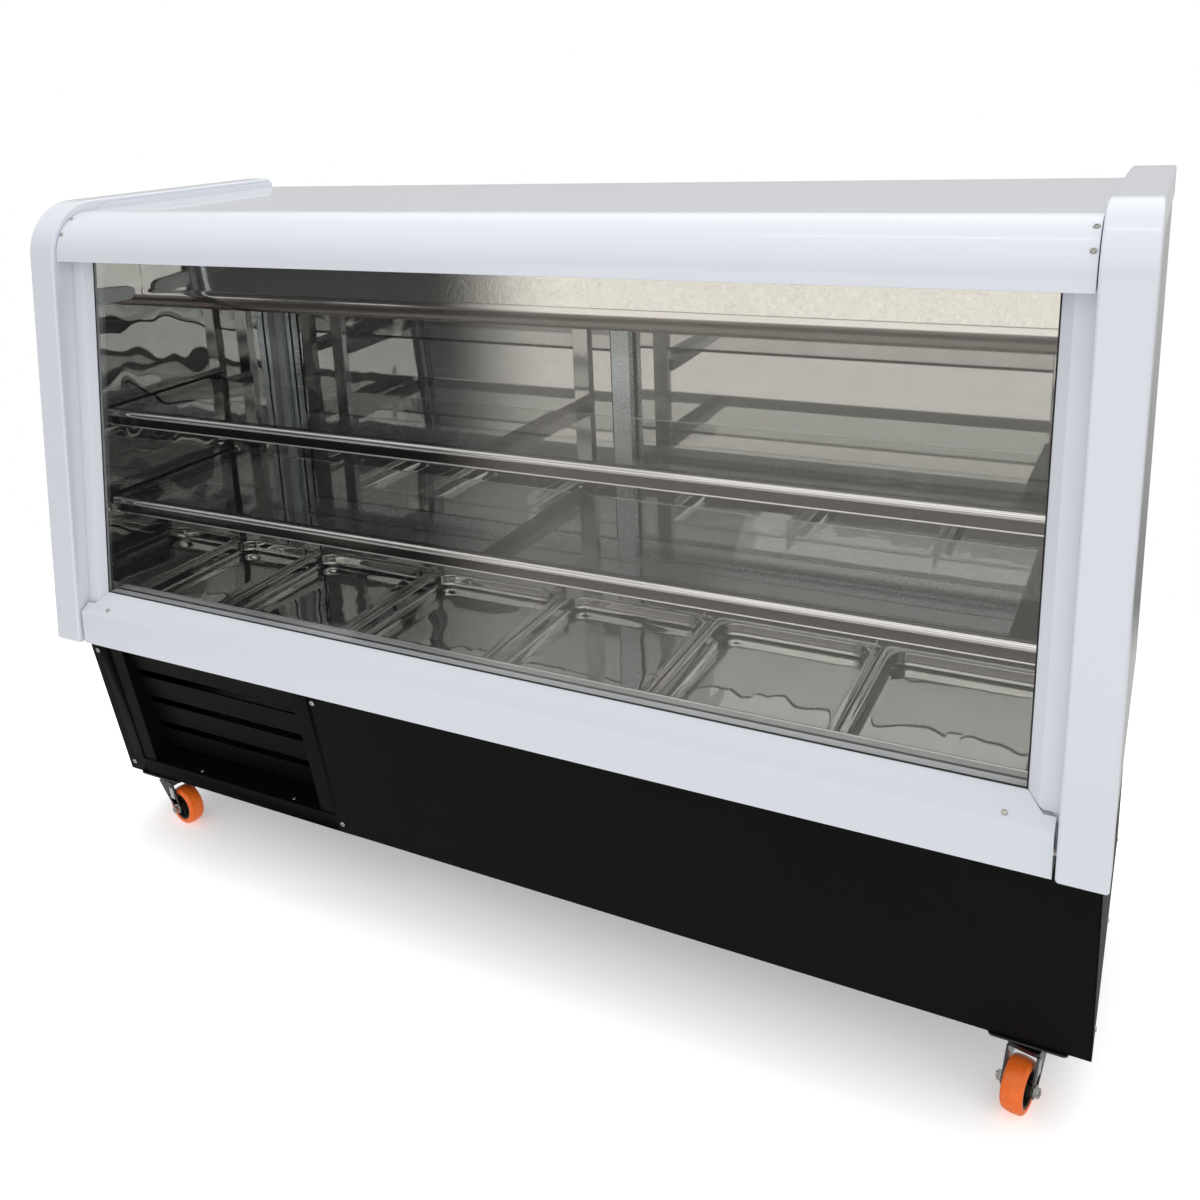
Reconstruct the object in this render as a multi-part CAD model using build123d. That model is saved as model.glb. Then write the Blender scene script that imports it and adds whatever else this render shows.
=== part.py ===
from build123d import *
import math
import os

# Refrigerated display counter on casters, in millimetres. X runs along the counter, Y from the
# shopper's side to the server's side and Z up from the shop floor. The origin is on the floor,
# under the middle of the counter.

# Driving dimensions
LENGTH = 1800
DEPTH = 660
HEIGHT = 1240
BODY_DEPTH = 650
BASE_UNDERSIDE = 105
BODY_UNDERSIDE = 440
BASE_INSET = 8
BASE_TOP_SETBACK = 57
BASE_FOOT_SETBACK = 114
SHEET = 2

# End caps, the white bands round both ends
CAP_WIDTH = 60
CAP_LEAN = 5.7
CAP_RADIUS = 100
CAP_FOOT_RADIUS = 9
CAP_EDGE_RADIUS = 5
CAP_BAND = 45

# Front glass and its white frame
GLASS_SETBACK = 50
GLASS_FOOT = 530
GLASS_LEAN = 6.9
GLASS_THICKNESS = 6
GLASS_TOP = 1165
GLASS_HALF_SIGHT = 800
GLASS_EDGE_COVER = 12
STILE_WIDTH = 40
STILE_BEVEL = 15
STILE_PROUD = 12
STILE_BACK = 20
RAIL_HALF_LENGTH = 836
RAIL_MITRE_DROP = 30
RAIL_SILL = (30, 512.5)
RAIL_SILL_RADIUS = 12
RAIL_NOSE = (12, 500)
RAIL_NOSE_RADIUS = 5
RAIL_FOOT_SETBACK = 9

# Top panel with its rolled fascia
TOP_HALF_LENGTH = 838.5
TOP_SURFACE = 1222
TOP_UNDERSIDE = 1192
FASCIA_FOOT = 1141
FASCIA_SETBACK = 77
FASCIA_LEAN = 6
FASCIA_RADIUS = 80
FLANGE_FOOT = 175
FLANGE_RUN = 30
FLANGE_RISE = 10

# Chilled space
WALL_FACE = 825
WALL_OUTER = 898
FLOOR_TOP = 466
DECK = 495
REAR_INNER = 598
HEADER_FOOT = 1030
UPSTAND_SETBACK = 73
UPSTAND_TOP = 541
UPSTAND_THICKNESS = 4
LEDGE_END = 92

# Louvred grille at the left of the base
LOUVRE_END = -320
LOUVRE_STILE = 44
LOUVRE_HEAD = 415
LOUVRE_SILL = 140
LOUVRE_TOP_RECESS = 10
LOUVRE_FOOT_RECESS = 48
SLAT_COUNT = 4
SLAT_FACE = 50
SLAT_LIP = 14
CHANNEL_WIDTH = 34
CHANNEL_DEPTH = 14
LOUVRE_SCREW_INSET = (15, 30)
LOUVRE_SCREW_HEIGHTS = (391, 126)

# Base frame and rear air slots
BASE_FLOOR = 3
POST_SIZE = 30
POST_SETBACK = 150
BASE_FOLD = 20
SLOT_SIZE = (150, 6)
SLOT_STARTS = (-740, -560)
SLOT_FOOT = 190
SLOT_PITCH = 18
SLOT_COUNT = 8

# Shelves
SHELF_GLASS = 6
LOWER_SHELF = 697
LOWER_SHELF_FRONT = 112
LOWER_SHELF_REAR = 425
UPPER_SHELF = 862
UPPER_SHELF_FRONT = 127
UPPER_SHELF_REAR = 370
SHELF_HALF_LENGTH = 815
ARM_WIDTH = 40
ARM_DEPTH = 24
ARM_TIP_DEPTH = 14
UPRIGHT_X = 780
UPRIGHT_FRONT = 450
UPRIGHT_SIZE = (30, 20)
SHELF_ROD_RADIUS = 7
SHELF_STRIP = 24

# Pans in the deck
PAN_PITCH = 288
PAN_COUNT = 6
PAN_GAP = 2
PAN_FRONT = 84
PAN_REAR = 440
PAN_RIM = 12
PAN_RIM_CORNER = 8
PAN_CORNER = 34
PAN_FLOOR_RADIUS = 12
PAN_WALL = 1.5
PAN_DEPTH = 23
DIVIDER_FRONT_RISE = 6
DIVIDER_REAR_RISE = 35

# Sliding doors at the server's side
JAMB_FACE = 805
DOOR_HALF_OVERLAP = 20
DOOR_THICKNESS = 18
DOOR_FRAME = 36
DOOR_PANE = 12
INNER_DOOR = 606
OUTER_DOOR = 630
DOOR_FOOT = 497.5
DOOR_HEAD = 1024
PULL_SIZE = (16, 6, 110)
TRACK_PLATE = 2
TRACK_GAP = 0.5
TRACK_RIB = 4
LOWER_RIB = 9
UPPER_RIB = 14

# Casters
WHEEL_RADIUS = 38
WHEEL_WIDTH = 30
HUB_RADIUS = 27
CASTER_X = 812
CASTER_SETBACK = 145
CASTER_TRAIL = 36
CASTER_PLATE = (104, 70, 3)
BOLT_SPACING = (80, 40)
CASTER_BOLT_RADIUS = 4
BOLT_HEAD = (7, 5)
BOLT_NUT = (7, 6)
BOLT_LENGTH = 16
FORK_TOP = 90
FORK_CROWN = 6
FORK_RACE_RADIUS = 23
LEG_OUTER = 22
LEG_THICKNESS = 3
LEG_END_RADIUS = 11
AXLE_HEAD = (7.5, 6)
AXLE_NUT = (7.5, 7)
AXLE_RADIUS = 4
KINGPIN_RADIUS = 6
RUNNING = 0.05
BODY_GAP = 0.3
CASTERS = {
    "front_left": (-1, -1, 80),
    "front_right": (1, -1, -12),
    "rear_left": (-1, 1, 160),
    "rear_right": (1, 1, 190),
}

# Condensing unit in the base
CONDENSER_FAN_X = -640
CONDENSER_FAN_Z = 262
CONDENSER_FAN_RADIUS = 105
CONDENSER_FAN_FRONT = 262
CONDENSER_FAN_DEPTH = 26
CONDENSER_HALF_WIDTH = 165
CONDENSER_FRONT = 205
CONDENSER_PLATE = 243
CONDENSER_TOP = 405
SHROUD_REAR = 292
SHROUD_CLEARANCE = 7
COMPRESSOR_X = -430
COMPRESSOR_SETBACK = 420
COMPRESSOR_RADIUS = 78
COMPRESSOR_HEIGHT = 176
COMPRESSOR_CROWN = 34
COMPRESSOR_PLATE = (190, 140, 8)
COMPRESSOR_PADS = (78, 52)
PAD_RADIUS = 12

# Evaporator under the top panel
EVAPORATOR_FAN_RADIUS = 78
EVAPORATOR_FAN_SETBACK = 400
EVAPORATOR_FAN_FOOT = 1038
EVAPORATOR_FAN_DEPTH = 24
HOUSING_FRONT = 250
HOUSING_SLOPE_END = 262
HOUSING_DRIP_TOP = 1058
COIL_HALF_LENGTH = 560
COIL_SETBACKS = (500, 585)
COIL_HEIGHTS = (1056, 1180)
COIL_ROWS = (1076, 1116, 1156)
COIL_TUBE_RADIUS = 5
COIL_BEND = 34
FAN_SHAFT_RADIUS = 4

# Lamp behind the fascia
LAMP_SETBACK = 165
LAMP_Z = 1160
LAMP_RADIUS = 13
LAMP_HALF_LENGTH = 780
LAMP_HOLDER = (26, 34)

# Rear controls, cord gland and screws
KNOB_X = 560
KNOB_Z = 330
KNOB_RADIUS = 19
KNOB_POINTER = (4, 17, 2)
KNOB_SPINDLE_RADIUS = 3
KNOB_END = 659.5
CONTROL_PLATE = (120, 70)
THERMOSTAT = (44, 40)
GLAND_X = -300
GLAND_Z = 180
GLAND_THREAD_RADIUS = 8
GLAND_NUT_RADIUS = 13
SCREW_RADIUS = 2.5
SCREW_LENGTH = 12
SCREW_HEAD_RADIUS = 5
SCREW_HEAD_HEIGHT = 2.6


def back(distance):
    """Y of a point this far behind the front lip of the end caps."""
    return distance - DEPTH / 2


def leaning(setback, angle, rise):
    """Setback of a leaning face after it has risen this far."""
    return setback + rise * math.tan(math.radians(angle))


def glass_setback(z, behind=0):
    """Setback of the plane this far behind the front of the glass, at height z."""
    slant = behind / math.cos(math.radians(GLASS_LEAN))
    return leaning(GLASS_SETBACK + slant, GLASS_LEAN, z - GLASS_FOOT)


def base_setback(z, behind=0):
    """Setback of the base's sloping front, or of a plane behind it, at height z."""
    share = (z - BASE_UNDERSIDE) / (BODY_UNDERSIDE - BASE_UNDERSIDE)
    return BASE_FOOT_SETBACK + share * (BASE_TOP_SETBACK - BASE_FOOT_SETBACK) + behind


def block(x, y, z):
    """Box between pairs of limits, with y given as setbacks."""
    size = (x[1] - x[0], y[1] - y[0], z[1] - z[0])
    return Pos(x[0], back(y[0]), z[0]) * Box(*size, align=(Align.MIN, Align.MIN, Align.MIN))


def side_face(points, radii=None):
    """Face of a side outline of (setback, z) points, rounded at the corners that radii names."""
    face = make_face(Polyline(*[(back(y), z) for y, z in points], close=True))
    for corner, radius in (radii or {}).items():
        y, z = points[corner]
        vertex = face.vertices().sort_by_distance((back(y), z, 0))[0]
        face = fillet(vertex, radius)
    return face


def along_x(points, low, high, radii=None):
    """Solid of a side outline, from X low to X high."""
    face = Plane.YZ.offset(low) * side_face(points, radii)
    return extrude(face, amount=high - low, dir=(1, 0, 0))


def mirrored(solid):
    """The same solid at the other end of the counter."""
    return mirror(solid, about=Plane.YZ)


def rod(radius, start, end):
    """Round bar between two points whose y is a setback."""
    first = Vector(start[0], back(start[1]), start[2])
    last = Vector(end[0], back(end[1]), end[2])
    way = last - first
    return extrude(Plane(first, z_dir=way) * Circle(radius), amount=way.length)


def hexagon(radius, height):
    """Hexagonal prism of this across-corners radius, standing on the XY plane."""
    return extrude(RegularPolygon(radius, 6), amount=height)


def cap_outline():
    """Side outline of an end cap, from its front foot over the top to its rear."""
    top_setback = leaning(0, CAP_LEAN, HEIGHT - BODY_UNDERSIDE)
    inner_top = HEIGHT - CAP_BAND
    return [
        (0, BODY_UNDERSIDE),
        (top_setback, HEIGHT),
        (BODY_DEPTH, HEIGHT),
        (BODY_DEPTH, inner_top),
        (glass_setback(inner_top, STILE_BACK), inner_top),
        (glass_setback(BODY_UNDERSIDE, STILE_BACK), BODY_UNDERSIDE),
    ]


def end_cap():
    """White band round the right end, with rounded outer edges and feet."""
    inner, outer = LENGTH / 2 - CAP_WIDTH, LENGTH / 2
    cap = along_x(cap_outline(), inner, outer, {1: CAP_RADIUS, 4: CAP_RADIUS / 2})
    feet = cap.edges().filter_by(Axis.Y).group_by(Axis.Z)[0]
    cap = fillet(feet, CAP_FOOT_RADIUS)
    top_edges = cap.edges().filter_by(Axis.Y).group_by(Axis.Z)[-1]
    return fillet(top_edges, CAP_EDGE_RADIUS)


def end_wall():
    """Insulated wall inside the right end cap."""
    top = HEIGHT - CAP_BAND
    outline = [
        (glass_setback(BODY_UNDERSIDE, STILE_BACK), BODY_UNDERSIDE),
        (glass_setback(top, STILE_BACK), top),
        (BODY_DEPTH, top),
        (BODY_DEPTH, BODY_UNDERSIDE),
    ]
    under_cap = {1: CAP_RADIUS / 2}
    inside_cap = along_x(outline, LENGTH / 2 - CAP_WIDTH, WALL_OUTER, under_cap)
    lower_top = [(y, min(z, TOP_UNDERSIDE)) for y, z in outline]
    lower_top[1] = (glass_setback(TOP_UNDERSIDE, STILE_BACK), TOP_UNDERSIDE)
    return inside_cap + along_x(lower_top, WALL_FACE, LENGTH / 2 - CAP_WIDTH)


def top_panel():
    """White top with its rolled fascia and an upturned flange at each end."""
    outline = [
        (FASCIA_SETBACK, FASCIA_FOOT),
        (leaning(FASCIA_SETBACK, FASCIA_LEAN, TOP_SURFACE - FASCIA_FOOT), TOP_SURFACE),
        (BODY_DEPTH, TOP_SURFACE),
        (BODY_DEPTH, TOP_UNDERSIDE),
        (glass_setback(TOP_UNDERSIDE, -BODY_GAP), TOP_UNDERSIDE),
        (glass_setback(FASCIA_FOOT, -BODY_GAP), FASCIA_FOOT),
    ]
    panel = along_x(outline, -TOP_HALF_LENGTH, TOP_HALF_LENGTH, {1: FASCIA_RADIUS})
    flange_outline = [
        (FLANGE_FOOT, TOP_SURFACE),
        (FLANGE_FOOT + FLANGE_RUN, TOP_SURFACE + FLANGE_RISE),
        (BODY_DEPTH, TOP_SURFACE + FLANGE_RISE),
        (BODY_DEPTH, TOP_SURFACE),
    ]
    flange = along_x(flange_outline, TOP_HALF_LENGTH - SHEET, TOP_HALF_LENGTH)
    return panel + flange + mirrored(flange)


def front_glass():
    """Leaning pane that stands on the rail and ends behind the fascia."""
    half = GLASS_HALF_SIGHT + GLASS_EDGE_COVER
    outline = [
        (glass_setback(GLASS_FOOT), GLASS_FOOT),
        (glass_setback(GLASS_TOP), GLASS_TOP),
        (glass_setback(GLASS_TOP, GLASS_THICKNESS), GLASS_TOP),
        (glass_setback(GLASS_FOOT, GLASS_THICKNESS), GLASS_FOOT),
    ]
    return along_x(outline, -half, half)


def mitre_zone(front=-DEPTH):
    """Space above the right mitre and behind a setback, where the stile replaces the rail."""
    foot = GLASS_FOOT - RAIL_MITRE_DROP
    reach = LENGTH / 2 - CAP_WIDTH
    outline = Polyline(
        (GLASS_HALF_SIGHT, GLASS_FOOT),
        (RAIL_HALF_LENGTH, foot),
        (reach, foot),
        (reach, FASCIA_FOOT),
        (GLASS_HALF_SIGHT, FASCIA_FOOT),
        close=True,
    )
    face = Plane.XZ.offset(-back(front)) * make_face(outline)
    return extrude(face, amount=-2 * DEPTH)


def front_rail():
    """White lower rail whose sloping sill is mitred at both ends, with its nose at full length."""
    outline = [
        (GLASS_SETBACK - BODY_GAP, GLASS_FOOT),
        RAIL_SILL,
        RAIL_NOSE,
        (RAIL_FOOT_SETBACK, BODY_UNDERSIDE),
        (glass_setback(BODY_UNDERSIDE, STILE_BACK), BODY_UNDERSIDE),
        (glass_setback(GLASS_FOOT, STILE_BACK), GLASS_FOOT),
    ]
    corners = {1: RAIL_SILL_RADIUS, 2: RAIL_NOSE_RADIUS}
    rail = along_x(outline, -RAIL_HALF_LENGTH, RAIL_HALF_LENGTH, corners)
    stile_room = mitre_zone(RAIL_SILL[0])
    return rail - stile_room - mirrored(stile_room)


def glass_stile():
    """White upright frame at the right edge of the glass, with a bevel towards the pane."""
    outer = GLASS_HALF_SIGHT + STILE_WIDTH
    pane_edge = GLASS_HALF_SIGHT + GLASS_EDGE_COVER + BODY_GAP
    outline = Polyline(
        (outer, -STILE_PROUD),
        (GLASS_HALF_SIGHT + STILE_BEVEL, -STILE_PROUD),
        (GLASS_HALF_SIGHT, 0),
        (pane_edge, 0),
        (pane_edge, STILE_BACK),
        (outer, STILE_BACK),
        close=True,
    )
    tilt = math.radians(GLASS_LEAN)
    foot = GLASS_FOOT - 2 * RAIL_MITRE_DROP
    origin = (0, back(glass_setback(foot)), foot)
    section = Plane(origin, x_dir=(1, 0, 0), z_dir=(0, math.sin(tilt), math.cos(tilt)))
    stile = extrude(section * make_face(outline), amount=HEIGHT)
    return stile & mitre_zone()


def insulated_floor():
    """Insulated slab under the chilled space."""
    outline = [
        (glass_setback(BODY_UNDERSIDE, STILE_BACK), BODY_UNDERSIDE),
        (glass_setback(FLOOR_TOP, STILE_BACK), FLOOR_TOP),
        (BODY_DEPTH, FLOOR_TOP),
        (BODY_DEPTH, BODY_UNDERSIDE),
    ]
    return along_x(outline, -WALL_FACE, WALL_FACE)


def front_sheet(z_low, z_high, low, high):
    """Strip of the base's sloping front sheet."""
    outline = [
        (base_setback(z_low), z_low),
        (base_setback(z_high), z_high),
        (base_setback(z_high, SHEET), z_high),
        (base_setback(z_low, SHEET), z_low),
    ]
    return along_x(outline, low, high)


def base_half_length():
    return LENGTH / 2 - BASE_INSET - SHEET


def base_front_panel():
    """Black front sheet of the base, right of the louvre, with a folded top edge."""
    end = base_half_length()
    sheet = front_sheet(BASE_UNDERSIDE, BODY_UNDERSIDE, LOUVRE_END, end)
    edge = base_setback(BODY_UNDERSIDE, SHEET)
    height = (BODY_UNDERSIDE - SHEET, BODY_UNDERSIDE)
    return sheet + block((LOUVRE_END, end), (edge, edge + BASE_FOLD), height)


def louvre_screw_places():
    """Centres of the four screws of the louvre frame, as (x, z)."""
    left = -base_half_length() + LOUVRE_SCREW_INSET[0]
    right = LOUVRE_END - LOUVRE_SCREW_INSET[1]
    return [(x, z) for x in (left, right) for z in LOUVRE_SCREW_HEIGHTS]


def base_front_plane(x, z):
    """Plane on the base's front sheet at a place, with its normal pointing out."""
    slope = (BASE_FOOT_SETBACK - BASE_TOP_SETBACK) / (BODY_UNDERSIDE - BASE_UNDERSIDE)
    return Plane((x, back(base_setback(z)), z), x_dir=(1, 0, 0), z_dir=(0, -1, -slope))


def louvre_frame():
    """Black frame round the grille: head, sill and two stiles, with holes for its screws."""
    left, right = -base_half_length(), LOUVRE_END
    inner_left, inner_right = left + LOUVRE_STILE, right - LOUVRE_STILE
    strips = [
        front_sheet(BASE_UNDERSIDE, BODY_UNDERSIDE, left, inner_left),
        front_sheet(BASE_UNDERSIDE, BODY_UNDERSIDE, inner_right, right),
        front_sheet(BASE_UNDERSIDE, LOUVRE_SILL, inner_left, inner_right),
        front_sheet(LOUVRE_HEAD, BODY_UNDERSIDE, inner_left, inner_right),
    ]
    holes = [
        base_front_plane(x, z) * Cylinder(SCREW_RADIUS + RUNNING, SCREW_LENGTH)
        for x, z in louvre_screw_places()
    ]
    return [strip - holes for strip in strips]


def insert_setback(z, behind=0):
    """Setback of the grille's slats, which stand deeper towards their foot."""
    share = (LOUVRE_HEAD - z) / (LOUVRE_HEAD - LOUVRE_SILL)
    depth = LOUVRE_TOP_RECESS + share * (LOUVRE_FOOT_RECESS - LOUVRE_TOP_RECESS)
    return base_setback(z) + depth + behind


def louvre_slats():
    """Horizontal blades, each with a lip folded back at its top, and the ledge below them."""
    low = -base_half_length() + LOUVRE_STILE + CHANNEL_WIDTH
    high = LOUVRE_END - LOUVRE_STILE - CHANNEL_WIDTH
    ledge_top = LOUVRE_SILL + 4 * SHEET
    pitch = (LOUVRE_HEAD - ledge_top) / SLAT_COUNT
    slats = []
    for number in range(SLAT_COUNT):
        foot = ledge_top + 3 * SHEET + number * pitch
        head = foot + SLAT_FACE
        lip_end = head - SLAT_LIP / 2
        outline = [
            (insert_setback(foot), foot),
            (insert_setback(head), head),
            (insert_setback(head, SLAT_LIP), lip_end),
            (insert_setback(head, SLAT_LIP), lip_end - SHEET),
            (insert_setback(head, SHEET), head - SHEET),
            (insert_setback(foot, SHEET), foot),
        ]
        slats.append(along_x(outline, low, high))
    ledge_front = base_setback(LOUVRE_SILL - SHEET, SHEET)
    ledge_rear = insert_setback(LOUVRE_SILL, 12 * SHEET)
    foot = LOUVRE_SILL - SHEET
    ledge = block((low, high), (ledge_front, ledge_rear), (foot, LOUVRE_SILL))
    back_fold = block((low, high), (ledge_rear, ledge_rear + SHEET), (foot, ledge_top))
    return slats + [ledge + back_fold]


def louvre_channels():
    """Two upright channels that hold the slats' ends."""
    low = -base_half_length() + LOUVRE_STILE
    outline = [
        (base_setback(LOUVRE_SILL, SHEET), LOUVRE_SILL),
        (base_setback(LOUVRE_HEAD, SHEET), LOUVRE_HEAD),
        (insert_setback(LOUVRE_HEAD, CHANNEL_DEPTH), LOUVRE_HEAD),
        (insert_setback(LOUVRE_SILL, CHANNEL_DEPTH), LOUVRE_SILL),
    ]
    high = LOUVRE_END - LOUVRE_STILE
    left = along_x(outline, low, low + CHANNEL_WIDTH)
    right = along_x(outline, high - CHANNEL_WIDTH, high)
    return [left, right]


def base_side():
    """Black sheet that closes the right end of the base."""
    outer = LENGTH / 2 - BASE_INSET
    outline = [
        (BASE_FOOT_SETBACK, BASE_UNDERSIDE),
        (BASE_TOP_SETBACK, BODY_UNDERSIDE),
        (BODY_DEPTH, BODY_UNDERSIDE),
        (BODY_DEPTH, BASE_UNDERSIDE),
    ]
    return along_x(outline, outer - SHEET, outer)


def through_rear(radius, x, z):
    """Round cutter through the rear panel and what is fixed to it."""
    return rod(radius, (x, BODY_DEPTH - 2 * SHEET, z), (x, DEPTH, z))


def base_rear_panel():
    """Black rear sheet of the base with two columns of air slots."""
    end = base_half_length()
    panel = block((-end, end), (BODY_DEPTH - SHEET, BODY_DEPTH), (BASE_UNDERSIDE, BODY_UNDERSIDE))
    length, height = SLOT_SIZE
    slots = []
    for x in SLOT_STARTS:
        for number in range(SLOT_COUNT):
            z = SLOT_FOOT + number * SLOT_PITCH
            slots.append(block((x, x + length), (BODY_DEPTH - 2 * SHEET, DEPTH), (z, z + height)))
    gland_hole = through_rear(GLAND_THREAD_RADIUS + RUNNING, GLAND_X, GLAND_Z)
    spindle_hole = through_rear(KNOB_SPINDLE_RADIUS + SHEET, KNOB_X, KNOB_Z)
    return panel - slots - gland_hole - spindle_hole


def caster_centre(side, end):
    """X and Y of a caster's swivel axis."""
    return side * CASTER_X, end * (DEPTH / 2 - CASTER_SETBACK)


def bolt_places():
    """X and Y of all the caster bolts."""
    places = []
    for side, end, _ in CASTERS.values():
        x, y = caster_centre(side, end)
        for dx in (-BOLT_SPACING[0] / 2, BOLT_SPACING[0] / 2):
            for dy in (-BOLT_SPACING[1] / 2, BOLT_SPACING[1] / 2):
                places.append((x + dx, y + dy))
    return places


def base_floor():
    """Steel floor of the base, which carries the casters and the condensing unit."""
    end = base_half_length()
    top = BASE_UNDERSIDE + BASE_FLOOR
    outline = [
        (base_setback(BASE_UNDERSIDE, SHEET), BASE_UNDERSIDE),
        (base_setback(top, SHEET), top),
        (BODY_DEPTH - SHEET, top),
        (BODY_DEPTH - SHEET, BASE_UNDERSIDE),
    ]
    floor = along_x(outline, -end, end)
    holes = [
        Pos(x, y, BASE_UNDERSIDE) * Cylinder(CASTER_BOLT_RADIUS + RUNNING, 4 * BASE_FLOOR)
        for x, y in bolt_places()
    ]
    return floor - holes


def corner_posts():
    """Four square tubes that carry the body on the base's floor."""
    size = POST_SIZE
    end = base_half_length()
    height = (BASE_UNDERSIDE + BASE_FLOOR, BODY_UNDERSIDE)
    posts = []
    for x in (-end, end - size):
        for y in (POST_SETBACK, BODY_DEPTH - SHEET - size):
            posts.append(block((x, x + size), (y, y + size), height))
    return posts


def deck_liner():
    """Stainless upstand along the glass with its ledge, and the rear deck behind the pans."""
    lip_front, lip_back = UPSTAND_SETBACK, UPSTAND_SETBACK + UPSTAND_THICKNESS
    upstand = [
        (lip_front, FLOOR_TOP),
        (lip_front, UPSTAND_TOP),
        (lip_back, UPSTAND_TOP),
        (lip_back, DECK - BODY_GAP),
        (LEDGE_END, DECK - BODY_GAP),
        (LEDGE_END, DECK - SHEET),
        (lip_back, DECK - SHEET),
        (lip_back, FLOOR_TOP),
    ]
    round_lip = 0.45 * UPSTAND_THICKNESS
    front = along_x(upstand, -WALL_FACE, WALL_FACE, {1: round_lip, 2: round_lip})
    rear_start = PAN_REAR - PAN_RIM + SHEET
    rear = [
        (rear_start, DECK - BODY_GAP),
        (REAR_INNER, DECK - BODY_GAP),
        (REAR_INNER, FLOOR_TOP),
        (REAR_INNER - SHEET, FLOOR_TOP),
        (REAR_INNER - SHEET, DECK - SHEET),
        (rear_start, DECK - SHEET),
    ]
    return [front, along_x(rear, -WALL_FACE, WALL_FACE)]


def pan_limits():
    """X limits of each pan's bay, from left to right: one narrow bay, then equal ones."""
    edges = [WALL_FACE - PAN_PITCH * number for number in range(PAN_COUNT)][::-1]
    return list(zip([-WALL_FACE] + edges[:-1], edges))


def bowl_shape(width, length, corner, floor_radius):
    """Shallow tray shape below the XY plane, with a rounded floor edge."""
    shape = extrude(RectangleRounded(width, length, corner), amount=-PAN_DEPTH)
    return fillet(shape.edges().group_by(Axis.Z)[0], floor_radius)


def pan(bay):
    """Pressed pan with a flat rim and rounded corners, over one bay of the deck."""
    low, high = bay[0] + PAN_GAP, bay[1] - PAN_GAP
    width, length = high - low, PAN_REAR - PAN_FRONT
    place = Pos((low + high) / 2, back((PAN_FRONT + PAN_REAR) / 2), DECK)
    rim = extrude(RectangleRounded(width, length, PAN_RIM_CORNER), amount=PAN_WALL)
    outer = (width - 2 * PAN_RIM, length - 2 * PAN_RIM)
    inner = (outer[0] - 2 * PAN_WALL, outer[1] - 2 * PAN_WALL)
    bowl = bowl_shape(*outer, PAN_CORNER, PAN_FLOOR_RADIUS)
    hollow = bowl_shape(*inner, PAN_CORNER - PAN_WALL, PAN_FLOOR_RADIUS - PAN_WALL)
    return place * (rim + bowl - Pos(0, 0, PAN_WALL) * hollow)


def deck_dividers():
    """Upright plates between the pans, each rising to a point at its rear."""
    half = SHEET / 2
    outline = [
        (PAN_FRONT + PAN_RIM, FLOOR_TOP),
        (PAN_FRONT + PAN_RIM, DECK + DIVIDER_FRONT_RISE),
        (PAN_REAR - PAN_RIM, DECK + DIVIDER_REAR_RISE),
        (PAN_REAR - PAN_RIM, FLOOR_TOP),
    ]
    return [along_x(outline, bay[1] - half, bay[1] + half) for bay in pan_limits()[:-1]]


def shelf_glass(top, front, rear):
    """Shelf pane that lies on its arms behind the front rod."""
    start = front + SHELF_ROD_RADIUS
    half = SHELF_HALF_LENGTH
    return block((-half, half), (start, rear), (top - SHELF_GLASS, top))


def shelf_rail(top, front):
    """Chrome front rod of a shelf, with the strip that hangs below it."""
    half = SHELF_HALF_LENGTH
    z = top - SHELF_ROD_RADIUS
    bar = rod(SHELF_ROD_RADIUS, (-half, front, z), (half, front, z))
    strip = block((-half, half), (front - SHEET, front + SHEET), (z - SHELF_STRIP, z))
    return bar + strip


def shelf_arm(x, top, front):
    """Dark arm under a shelf, tapering to its tip behind the front rail."""
    under = top - SHELF_GLASS
    tip = front + SHELF_ROD_RADIUS
    outline = [
        (tip, under),
        (UPRIGHT_FRONT, under),
        (UPRIGHT_FRONT, under - ARM_DEPTH),
        (tip, under - ARM_TIP_DEPTH),
    ]
    return along_x(outline, x - ARM_WIDTH / 2, x + ARM_WIDTH / 2)


def shelf_arms():
    places = (-UPRIGHT_X, 0, UPRIGHT_X)
    lower = [shelf_arm(x, LOWER_SHELF, LOWER_SHELF_FRONT) for x in places]
    upper = [shelf_arm(x, UPPER_SHELF, UPPER_SHELF_FRONT) for x in places]
    return lower + upper


def shelf_uprights():
    """Three square uprights from the rear deck to the evaporator housing."""
    wide, deep = UPRIGHT_SIZE
    depth = (UPRIGHT_FRONT, UPRIGHT_FRONT + deep)
    limits = (DECK - BODY_GAP, HEADER_FOOT)
    return [block((x - wide / 2, x + wide / 2), depth, limits) for x in (-UPRIGHT_X, 0, UPRIGHT_X)]


def evaporator_housing():
    """Folded sheet round the evaporator, with a sloping drip edge and a hole for the fan."""
    half = WALL_FACE - SHEET
    outline = [
        (HOUSING_FRONT, TOP_UNDERSIDE),
        (HOUSING_FRONT, HOUSING_DRIP_TOP),
        (HOUSING_SLOPE_END, HEADER_FOOT),
        (REAR_INNER, HEADER_FOOT),
        (REAR_INNER, HEADER_FOOT + SHEET),
        (HOUSING_SLOPE_END + SHEET, HEADER_FOOT + SHEET),
        (HOUSING_FRONT + SHEET, HOUSING_DRIP_TOP + SHEET / 2),
        (HOUSING_FRONT + SHEET, TOP_UNDERSIDE),
    ]
    housing = along_x(outline, -half, half)
    opening = Pos(0, back(EVAPORATOR_FAN_SETBACK), HEADER_FOOT)
    return housing - opening * Cylinder(EVAPORATOR_FAN_RADIUS + SHROUD_CLEARANCE, 5 * SHEET)


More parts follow.
